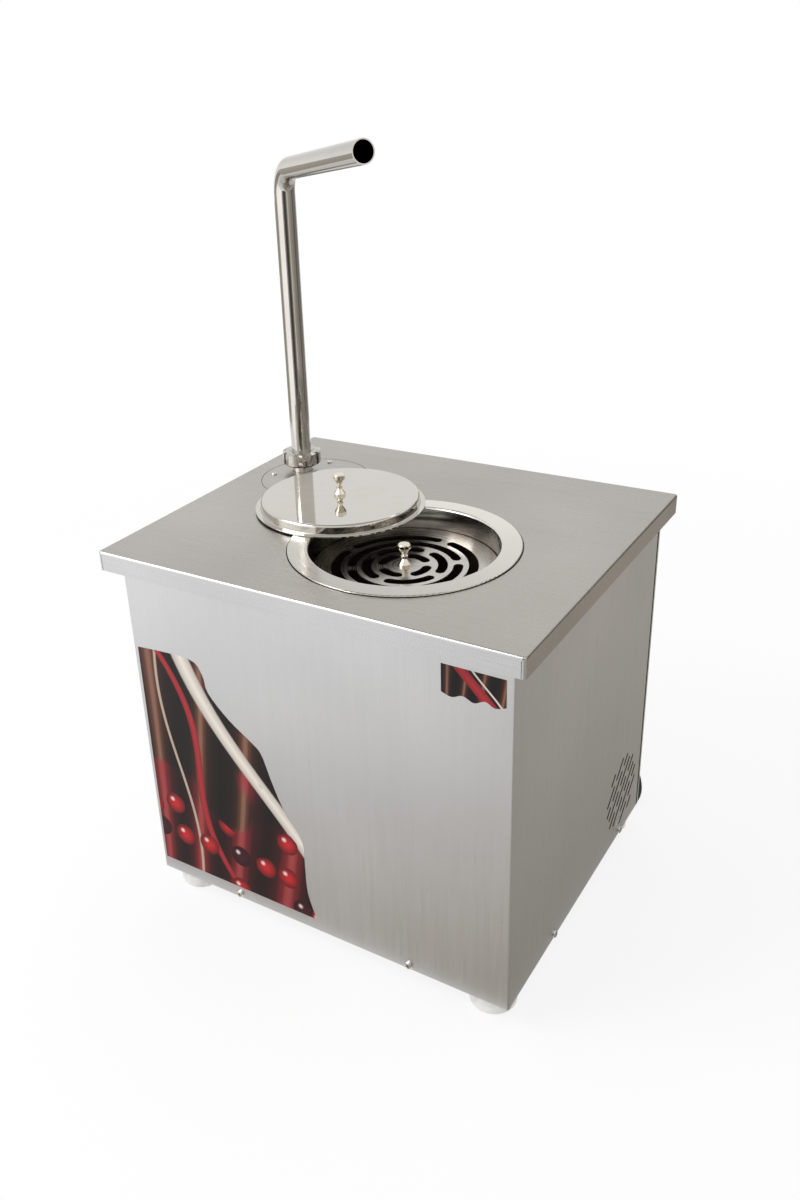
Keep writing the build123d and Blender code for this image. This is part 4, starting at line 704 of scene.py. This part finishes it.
class MACHINE_OT_cabinet(bpy.types.Operator):
    """Finishes the worktop, the casing, the covers, the pan and the feet"""
    bl_idname = "machine.cabinet"
    bl_label = "Cabinet and worktop"

    def execute(self, context):
        look = context.scene.machine_finish
        rough = look.sheet_roughness
        upright, level = (1.0, 1.0, 0.012), (0.012, 1.0, 1.0)
        cabinet = brushed_steel("cabinet_sheet", look.steel, upright, rough, low=0.92)
        finish_nodes(cabinet, "casing_wrap", "back_cover")
        finish_nodes(brushed_steel("inner_sheet", shade(look.steel, 0.95), (0.02, 1.0, 1.0), rough + 0.05),
                     "bottom_pan", "corner_posts", "motor_stand")
        finish_nodes(brushed_steel("worktop_sheet", look.worktop, level, rough - 0.06, smudges=0.8, edges=0.12),
                     "worktop", "cover_ring")
        finish_nodes(brushed_steel("cover_plate", shade(look.worktop, 1.02), level, rough - 0.04, smudges=0.9),
                     "cover_disc")
        # Painted light: the worktop's front-facing faces, its front skirt, get a lighter copy of the sheet than its
        # top.
        bright = brushed_steel("skirt_painted_light_sheet", shade(look.steel, 0.97), level, rough - 0.08, edges=0.12)
        refinish("worktop", bright, lambda face: face.normal.y < -0.36)
        self.vented_casing(context.scene.machine_vent, cabinet, painted_shade_black("vent_slot_painted_shade"))
        foot = moulded_plastic("foot_plastic", look.feet, 0.42, dirt=0.35, dirt_colour=(0.42, 0.38, 0.32))
        finish_nodes(foot, *[name for name in NODES if name.startswith("foot_")])
        return {"FINISHED"}

    def vented_casing(self, look, steel, black):
        """Stands for the casing wrap: the same sheet, with the vent's slots cut at their real pitch and their walls
        given painted shade in near-black.
        """
        fan_low, fan_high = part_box("fan_frame")
        centre = Vector((SIDE, (fan_low.y + fan_high.y) / 2, (fan_low.z + fan_high.z) / 2))

        def near(spot):
            return (spot - centre).length < SLOT_FIELD

        sheet = add("casing_sheet", self.unslotted(near))
        punch = add("vent_punch", self.punch(look, centre))
        cut = sheet.modifiers.new("vent", "BOOLEAN")
        cut.object = punch
        cut.operation = "DIFFERENCE"
        cut.solver = "EXACT"
        result = evaluated_mesh(sheet)
        sheet.modifiers.clear()
        sheet.data = result
        bpy.data.objects.remove(punch)
        if len(result.polygons) < 200:
            raise RuntimeError("the vent's slots were not cut")
        result.materials.clear()
        result.materials.append(steel)
        result.materials.append(black)
        for face in result.polygons:
            face.use_smooth = True
            # Painted shade: within the vent's field, every face that does not face out to the right, the slots' walls
            # among them, gets the near-black finish.
            face.material_index = int(near(face.center) and face.normal.x < WALL_TURN)
        result.set_sharp_from_angle(angle=math.radians(30))
        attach(sheet, "machine")
        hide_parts("casing_wrap")

    def unslotted(self, near):
        """The casing wrap's mesh with its slots closed."""
        content = bmesh.new()
        content.from_mesh(NODES["casing_wrap"].data)
        bmesh.ops.remove_doubles(content, verts=content.verts, dist=0.000001)
        walls = [face for face in content.faces
                 if near(face.calc_center_median()) and abs(face.normal.x) < WALL_TURN]
        bmesh.ops.delete(content, geom=walls, context="FACES")
        rims = [edge for edge in content.edges if edge.is_boundary and near(edge.verts[0].co)]
        bmesh.ops.holes_fill(content, edges=rims, sides=0)
        bmesh.ops.triangulate(content, faces=content.faces)
        content.verts.ensure_lookup_table()
        mesh = plain_mesh("casing_sheet", [vert.co[:] for vert in content.verts],
                          [[vert.index for vert in face.verts] for face in content.faces])
        content.free()
        return mesh

    def punch(self, look, centre):
        """Solid slots, slanted in staggered rows within a round field, to cut out of the sheet."""
        along = Vector((0, math.cos(look.tilt), math.sin(look.tilt)))
        across = Vector((0, -math.sin(look.tilt), math.cos(look.tilt)))
        half = look.width / 2
        content = bmesh.new()
        columns = int(look.radius / look.pitch)
        for column in range(-columns, columns + 1):
            reach = math.sqrt(look.radius ** 2 - (column * look.pitch) ** 2)
            for row in range(-2, 3):
                place = (row + (column % 2) / 2) * (look.length + look.width * 1.5)
                low, high = max(place - look.length / 2, -reach), min(place + look.length / 2, reach)
                if high - low < look.width * 1.6:
                    continue
                outline = []
                for end, turn in ((high - half, -90), (low + half, 90)):
                    for step in range(9):
                        angle = math.radians(turn + 22.5 * step)
                        outline.append(centre + along * (end + half * math.cos(angle))
                                       + across * (column * look.pitch + half * math.sin(angle)))
                inner, outer = ([content.verts.new(spot + Vector((side, 0, 0))) for spot in outline]
                                for side in (-PUNCH_REACH, PUNCH_REACH))
                content.faces.new(inner)
                content.faces.new(reversed(outer))
                tube_faces(content, outer, inner)
        bmesh.ops.recalc_face_normals(content, faces=content.faces)
        mesh = bpy.data.meshes.new("vent_punch")
        content.to_mesh(mesh)
        content.free()
        return mesh


class MACHINE_OT_bowl(bpy.types.Operator):
    """Finishes the bowl, its heater and jacket, the grate and the lid"""
    bl_idname = "machine.bowl"
    bl_label = "Bowl, grate and lid"

    def execute(self, context):
        look = context.scene.machine_finish
        polish = look.polish_roughness
        # Below this level the bowl gets a near-black coat: set chocolate and painted shade under the grate.
        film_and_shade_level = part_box("grate")[0].z - 0.002
        finish_nodes(film_and_painted_shade_steel("bowl_steel", look.polished, polish + 0.04, BOWL, film_and_shade_level,
                                  (0.020, 0.011, 0.007)), "bowl")
        finish_nodes(polished_steel("grate_steel", shade(look.polished, 0.9), polish + 0.1, BOWL), "grate")
        finish_nodes(polished_steel("lid_steel", shade(look.polished, 1.02), polish * 0.35, LID, 0.015, 0.02), "lid")
        knob = polished_steel("knob_steel", (0.76, 0.70, 0.59), polish * 0.6, LID)
        finish_nodes(knob, "lid_knob", "lid_nut", "grate_knob", "grate_nut")
        finish_nodes(machined_metal("heater_band_skin", (0.45, 0.42, 0.36), 0.5), "heater_band")
        finish_nodes(felt("jacket_felt", (0.72, 0.71, 0.68)), "bowl_jacket")
        finish_nodes(machined_metal("probe_steel", (0.55, 0.55, 0.55), 0.3), "bowl_probe")
        return {"FINISHED"}


class MACHINE_OT_spout(bpy.types.Operator):
    """Finishes the riser, the union and the spout"""
    bl_idname = "machine.spout"
    bl_label = "Spout and union"

    def execute(self, context):
        look = context.scene.machine_finish
        tube = polished_steel("spout_steel_painted_shade", shade(look.polished, 1.05), look.polish_roughness * 0.65,
                              ring_depth=0.008, sweep_depth=0.06)
        shader, surface, colour, _ = reopen(tube)
        # Painted shade: the tube's colour darkens where it faces down and, less, where it faces up.
        facing = shader.axes(shader.node("ShaderNodeNewGeometry").outputs["Normal"])[2]
        under = shader.spread(facing, 0.80, 0.0, -0.70, -0.05)
        above = shader.spread(facing, 0.0, 0.45, 0.10, 0.60)
        dull = shader.blend(shader.math("ADD", under, above), colour, (0.30, 0.28, 0.25))
        shader.link(dull, surface.inputs["Base Color"])
        finish_nodes(tube, "spout_tube", "riser_pipe")
        union = polished_steel("union_steel", shade(look.polished, 0.84), look.polish_roughness, TUBE, 0.02)
        finish_nodes(union, "union_nut", "spout_liner")
        finish_nodes(moulded_plastic("gasket_rubber", (0.68, 0.66, 0.6), 0.5), "union_gasket", "shaft_seal")
        return {"FINISHED"}


class MACHINE_OT_drive(bpy.types.Operator):
    """Finishes the gear pump, the gearmotor and the fan"""
    bl_idname = "machine.drive"
    bl_label = "Pump, motor and fan"

    def execute(self, context):
        finish_nodes(machined_metal("pump_body_steel", (0.5, 0.5, 0.5), 0.38), "pump_housing", "pump_cover")
        finish_nodes(machined_metal("gear_steel", (0.56, 0.55, 0.53), 0.25, 1200.0, 0.08),
                     "drive_gear", "idler_gear", "drive_shaft", "idler_shaft", "pump_spacers")
        finish_nodes(machined_metal("cast_aluminium", (0.52, 0.53, 0.55), 0.5, 350.0, 0.4), "gearbox")
        finish_nodes(machined_metal("motor_paint", (0.11, 0.12, 0.13), 0.45, 500.0, 0.3), "motor_can")
        finish_nodes(moulded_plastic("fan_plastic", (0.02, 0.02, 0.021), 0.42), "fan_frame", "fan_rotor")
        return {"FINISHED"}


class MACHINE_OT_fasteners(bpy.types.Operator):
    """Finishes the screws and lays a flat dark cross of painted shade for the recess on each visible head"""
    bl_idname = "machine.fasteners"
    bl_label = "Screws"

    def execute(self, context):
        finish_nodes(machined_metal("screw_steel", (0.78, 0.76, 0.73), 0.22, 900.0, 0.05),
                     "casing_screws", "back_screws", "disc_screws", "pan_screws", "pump_screws", "fan_studs")
        low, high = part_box("casing_screws")
        level = (low.z + high.z) / 2
        heads = [((x, low.y, level), (0, -1, 0)) for x in FRONT_SCREWS]
        heads += [((x, y, level), (math.copysign(1, x), 0, 0)) for x in (low.x, high.x) for y in SIDE_SCREWS]
        for turn in map(math.radians, DISC_SCREWS):
            heads.append(((DISC[0] + DISC_SCREW_RING * math.cos(turn), DISC[1] + DISC_SCREW_RING * math.sin(turn),
                           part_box("disc_screws")[1].z), (0, 0, 1)))

        def crosses(content):
            for spot, facing in heads:
                facing = Vector(facing)
                seat = (Matrix.Translation(Vector(spot) + facing * 0.00002)
                        @ facing.to_track_quat("Z", "Y").to_matrix().to_4x4())
                reach, half = (length * (0.7 if facing.z else 1.0) for length in RECESS_ARM)
                for angle in (0.3, 0.3 + math.pi / 2):
                    spin = seat @ Matrix.Rotation(angle, 4, "Z")
                    polygon(content, [spin @ Vector((x, y, 0)) for x, y in
                                      ((-reach, -half), (reach, -half), (reach, half), (-reach, half))])

        # Painted shade: the dark crosses stand for the shade inside the heads' recesses.
        new_piece("painted_shade_crosses", crosses, machined_metal("painted_shade_recess", (0.05, 0.048, 0.045), 0.6))
        return {"FINISHED"}


class MACHINE_OT_controls(bpy.types.Operator):
    """Finishes the controller, the switches and the parts on the pan"""
    bl_idname = "machine.controls"
    bl_label = "Controls and electrics"

    def execute(self, context):
        black = moulded_plastic("case_plastic", BLACK, 0.45)
        finish_nodes(black, "controller", "heat_switch_body", "pump_switch_body", "cord_gland", "relay")
        finish_nodes(tinted_lens("display_lens"), "controller_lens")
        finish_nodes(moulded_plastic("button_plastic", (0.42, 0.42, 0.41), 0.4),
                     "button_down", "button_set", "button_up")
        finish_nodes(moulded_plastic("terminal_plastic", (0.62, 0.6, 0.52), 0.5), "terminal_block")
        finish_nodes(moulded_plastic("heat_rocker_plastic", (0.42, 0.018, 0.012), 0.25, depth=0.03), "heat_rocker")
        finish_nodes(moulded_plastic("pump_rocker_plastic", (0.014, 0.19, 0.035), 0.25, depth=0.03), "pump_rocker")
        return {"FINISHED"}


class MACHINE_OT_cord(bpy.types.Operator):
    """Lays the supply cord from the gland to its coil and plug"""
    bl_idname = "machine.cord"
    bl_label = "Supply cord"

    def execute(self, context):
        size = context.scene.machine_cord
        route = self.route(size)
        curve = bpy.data.curves.new("supply_cord", "CURVE")
        curve.dimensions = "3D"
        line = curve.splines.new("NURBS")
        line.points.add(len(route) - 1)
        for point, spot in zip(line.points, route):
            point.co = (*spot, 1)
        line.order_u = 3
        line.use_endpoint_u = True
        line.resolution_u = 6
        curve.bevel_depth = size.diameter / 2
        curve.bevel_resolution = 5
        curve.use_fill_caps = True
        curve.materials.append(moulded_plastic("cord_sheath", BLACK, 0.5, 900.0, 0.1))
        cord = add("supply_cord", curve)
        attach(cord, "machine")
        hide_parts("cord_tube", "cord_coil")
        relief = self.strain_relief(cord, size.diameter, Vector(route[0]))
        finish_nodes(moulded_plastic("plug_plastic", BLACK, 0.42), "plug")
        return {"FINISHED"}

    def route(self, size):
        """Points from the gland through the bend and the coil, laid turn on turn, to the plug."""
        half, grid = size.diameter / 2, size.diameter
        layer = grid * math.sqrt(0.75)
        points = [(0.206, 0.240, 0.060), (0.2025, 0.2626, 0.0605), (0.2209, 0.2816, 0.0350),
                  (0.2354, 0.2595, 0.0037), (0.2184, 0.2178, half), (0.1576, 0.2231, half)]
        places = [(grid / 2, half), (-grid / 2, half), (-grid, half + layer), (0, half + layer),
                  (grid, half + layer), (grid / 2, half + 2 * layer), (-grid / 2, half + 2 * layer)]
        centre = Vector((0.096, 0.272))
        swell = 1 / 0.966  # the curve runs inside its points by this share
        for step in range(1, int(COIL_TURNS * COIL_STEPS) + 1):
            turn = step // COIL_STEPS
            after = min(turn + 1, len(places) - 1)
            part = max(0.0, (step / COIL_STEPS - turn) * 3 - 2)
            across, height = (here * (1 - part) + there * part for here, there in zip(places[turn], places[after]))
            angle = math.radians(270 - 360 * step / COIL_STEPS)
            radius = (size.coil_radius + across) * swell
            points.append((centre.x + radius * math.cos(angle), centre.y + radius * math.sin(angle), height))
        return points + [(0.118, 0.3095, 0.0175), (0.142, 0.309, 0.018)]

    def strain_relief(self, cord, diameter, exit_point):
        """A ribbed rubber sleeve that tapers along the cord's first 34 mm."""
        bare = cord.data.copy()
        bare.bevel_depth = 0
        probe = add("cord_line", bare)
        line = evaluated_mesh(probe)
        points = [vertex.co.copy() for vertex in line.vertices]
        bpy.data.objects.remove(probe)
        bpy.data.curves.remove(bare)
        bpy.data.meshes.remove(line)
        if (points[0] - exit_point).length > (points[-1] - exit_point).length:
            points.reverse()
        length, rings, sides = 0.034, 35, 20

        def at(distance):
            for before, after in zip(points, points[1:]):
                step = (after - before).length
                if step >= distance:
                    return before.lerp(after, distance / step)
                distance -= step
            return points[-1]

        def sleeve(content):
            loops = []
            for ring in range(rings):
                distance = length * ring / (rings - 1)
                spot = at(distance)
                along = (at(distance + 0.001) - spot).normalized()
                side = along.cross(Vector((0, 0, 1))).normalized()
                over = side.cross(along)
                taper = 1 - ring / (rings - 1)
                rib = 0.0005 if ring % 4 in (1, 2) and 2 < ring < rings - 3 else 0.0
                radius = diameter / 2 + 0.0006 + 0.0024 * taper + rib
                loops.append([content.verts.new(spot + (side * math.cos(turn) + over * math.sin(turn)) * radius)
                              for turn in (2 * math.pi * step / sides for step in range(sides))])
            for before, after in zip(loops, loops[1:]):
                tube_faces(content, before, after)
            content.faces.new(loops[0])
            content.faces.new(loops[-1])

        relief = new_piece("cord_relief", sleeve, moulded_plastic("relief_rubber", (0.02, 0.02, 0.021), 0.55, 900.0))
        for face in relief.data.polygons:
            face.use_smooth = True
        return relief


def smooth_outline(points, corners, steps=4):
    """Rounds an outline through its points, but keeps the named corners sharp."""
    rounded = []
    count = len(points)
    for index in range(count):
        before, here, after, beyond = (Vector(points[(index + shift) % count]) for shift in (-1, 0, 1, 2))
        start = Vector((0, 0)) if index in corners else (after - before) / 2
        end = Vector((0, 0)) if (index + 1) % count in corners else (beyond - here) / 2
        for step in range(steps):
            t = step / steps
            spot = ((2 * t ** 3 - 3 * t ** 2 + 1) * here + (t ** 3 - 2 * t ** 2 + t) * start
                    + (-2 * t ** 3 + 3 * t ** 2) * after + (t ** 3 - t ** 2) * end)
            rounded.append((spot.x, spot.y))
    return rounded


def decal(name, outline, material):
    """A thin vinyl sheet stuck to the front panel."""
    def sheet(content):
        front, back = ([content.verts.new((x, FRONT - lift, TOP + z)) for x, z in outline]
                       for lift in (VINYL_FACE, VINYL_BACK))
        content.faces.new(front)
        tube_faces(content, front, back)

    new_piece(name, sheet, material)


class MACHINE_OT_decals(bpy.types.Operator):
    """Sticks two plain patterned vinyl sheets to the front panel"""
    bl_idname = "machine.decals"
    bl_label = "Decals"

    def execute(self, context):
        cream, rose = (0.82, 0.74, 0.66), (0.42, 0.02, 0.028)
        big = flowing_vinyl("front_vinyl", (-0.13, 0.0, TOP - 0.28), 9.0, -0.15,
                            [(0.62, 0.16, 0.60, 0.13, cream), (0.05, 0.12, -0.58, 0.022, (0.55, 0.42, 0.33)),
                             (0.40, -0.25, -0.30, 0.05, rose)], 2.6, -0.25)
        small = flowing_vinyl("corner_vinyl", (0.2, 0.0, TOP - 0.055), 30.0, -2.0,
                              [(0.5, 0.3, 0.0, 0.26, rose), (0.5, 0.3, 0.40, 0.05, cream)])
        decal("front_decal", smooth_outline(FRONT_DECAL, (0, 12, 13)), big)
        decal("corner_decal", smooth_outline(CORNER_DECAL, (0, 1, 2, 8)), small)
        return {"FINISHED"}


class MACHINE_OT_seams(bpy.types.Operator):
    """Adds painted shade: dark strips in the skirt's open corner seams, dark lines round the disc and the bowl, and
    dark strips at the gaps at the rear
    """
    bl_idname = "machine.seams"
    bl_label = "Seams and gaps"

    def execute(self, context):
        shadow = painted_shade_black("seam_painted_shade")
        low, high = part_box("worktop")

        def seams(content):
            # Painted shade: a near-black strip in each of the skirt's open corner seams.
            level, foot, head = low.y - 0.00003, low.z + 0.0002, high.z - 0.004
            for x, side in ((high.x, 1), (low.x, -1)):
                outer, inner = (x - side * inset for inset in (SEAM_INSET, SEAM_INSET + SEAM_WIDTH))
                polygon(content, [(outer, level, foot), (inner, level, foot), (inner, level, head),
                                  (outer, level, head)])

        def rims(content):
            # Painted shade: thin near-black rings where the disc and the bowl's flange meet the worktop.
            for name, centre, width in (("cover_disc", DISC, 0.0006), ("bowl", BOWL, 0.0009)):
                left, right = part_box(name)
                flat_ring(content, centre, (right.x - left.x) / 2, width)

        def rear(content):
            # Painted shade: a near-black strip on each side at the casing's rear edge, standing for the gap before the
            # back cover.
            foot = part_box("casing_wrap")[0].z + 0.001
            near, far = REAR_SHADE_SPAN
            for x in (-SIDE - 0.00004, SIDE + 0.00004):
                polygon(content, [(x, near, foot), (x, far, foot), (x, far, low.z), (x, near, low.z)])

        new_piece("skirt_seam_painted_shade", seams, shadow)
        new_piece("rim_painted_shade", rims, shadow)
        new_piece("rear_gap_painted_shade", rear, shadow)
        return {"FINISHED"}


class MACHINE_PT_panel(bpy.types.Panel):
    """Lists the machine's settings and steps"""
    bl_label = "Tempering machine"
    bl_idname = "MACHINE_PT_panel"
    bl_space_type = "VIEW_3D"
    bl_region_type = "UI"
    bl_category = "Machine"

    def draw(self, context):
        for label, _ in GROUPS:
            group = getattr(context.scene, label)
            box = self.layout.box()
            for name in group.__annotations__:
                box.prop(group, name)
        for step in STEPS:
            self.layout.operator(step.bl_idname)


STEPS = (MACHINE_OT_stage, MACHINE_OT_cord, MACHINE_OT_cabinet, MACHINE_OT_bowl, MACHINE_OT_spout,
         MACHINE_OT_drive, MACHINE_OT_fasteners, MACHINE_OT_controls, MACHINE_OT_decals, MACHINE_OT_seams)
GROUPS = (("machine_finish", FinishSettings), ("machine_vent", VentSettings), ("machine_cord", CordSettings),
          ("machine_stage", StageSettings))


def register():
    for name, group in GROUPS:
        bpy.utils.register_class(group)
        setattr(bpy.types.Scene, name, PointerProperty(type=group))
    for item in (*STEPS, MACHINE_PT_panel):
        bpy.utils.register_class(item)


def unregister():
    for item in (MACHINE_PT_panel, *reversed(STEPS)):
        bpy.utils.unregister_class(item)
    for name, group in reversed(GROUPS):
        delattr(bpy.types.Scene, name)
        bpy.utils.unregister_class(group)


def main():
    register()
    for step in STEPS:
        section, name = step.bl_idname.split(".")
        getattr(getattr(bpy.ops, section), name)()


if __name__ == "__main__":
    main()
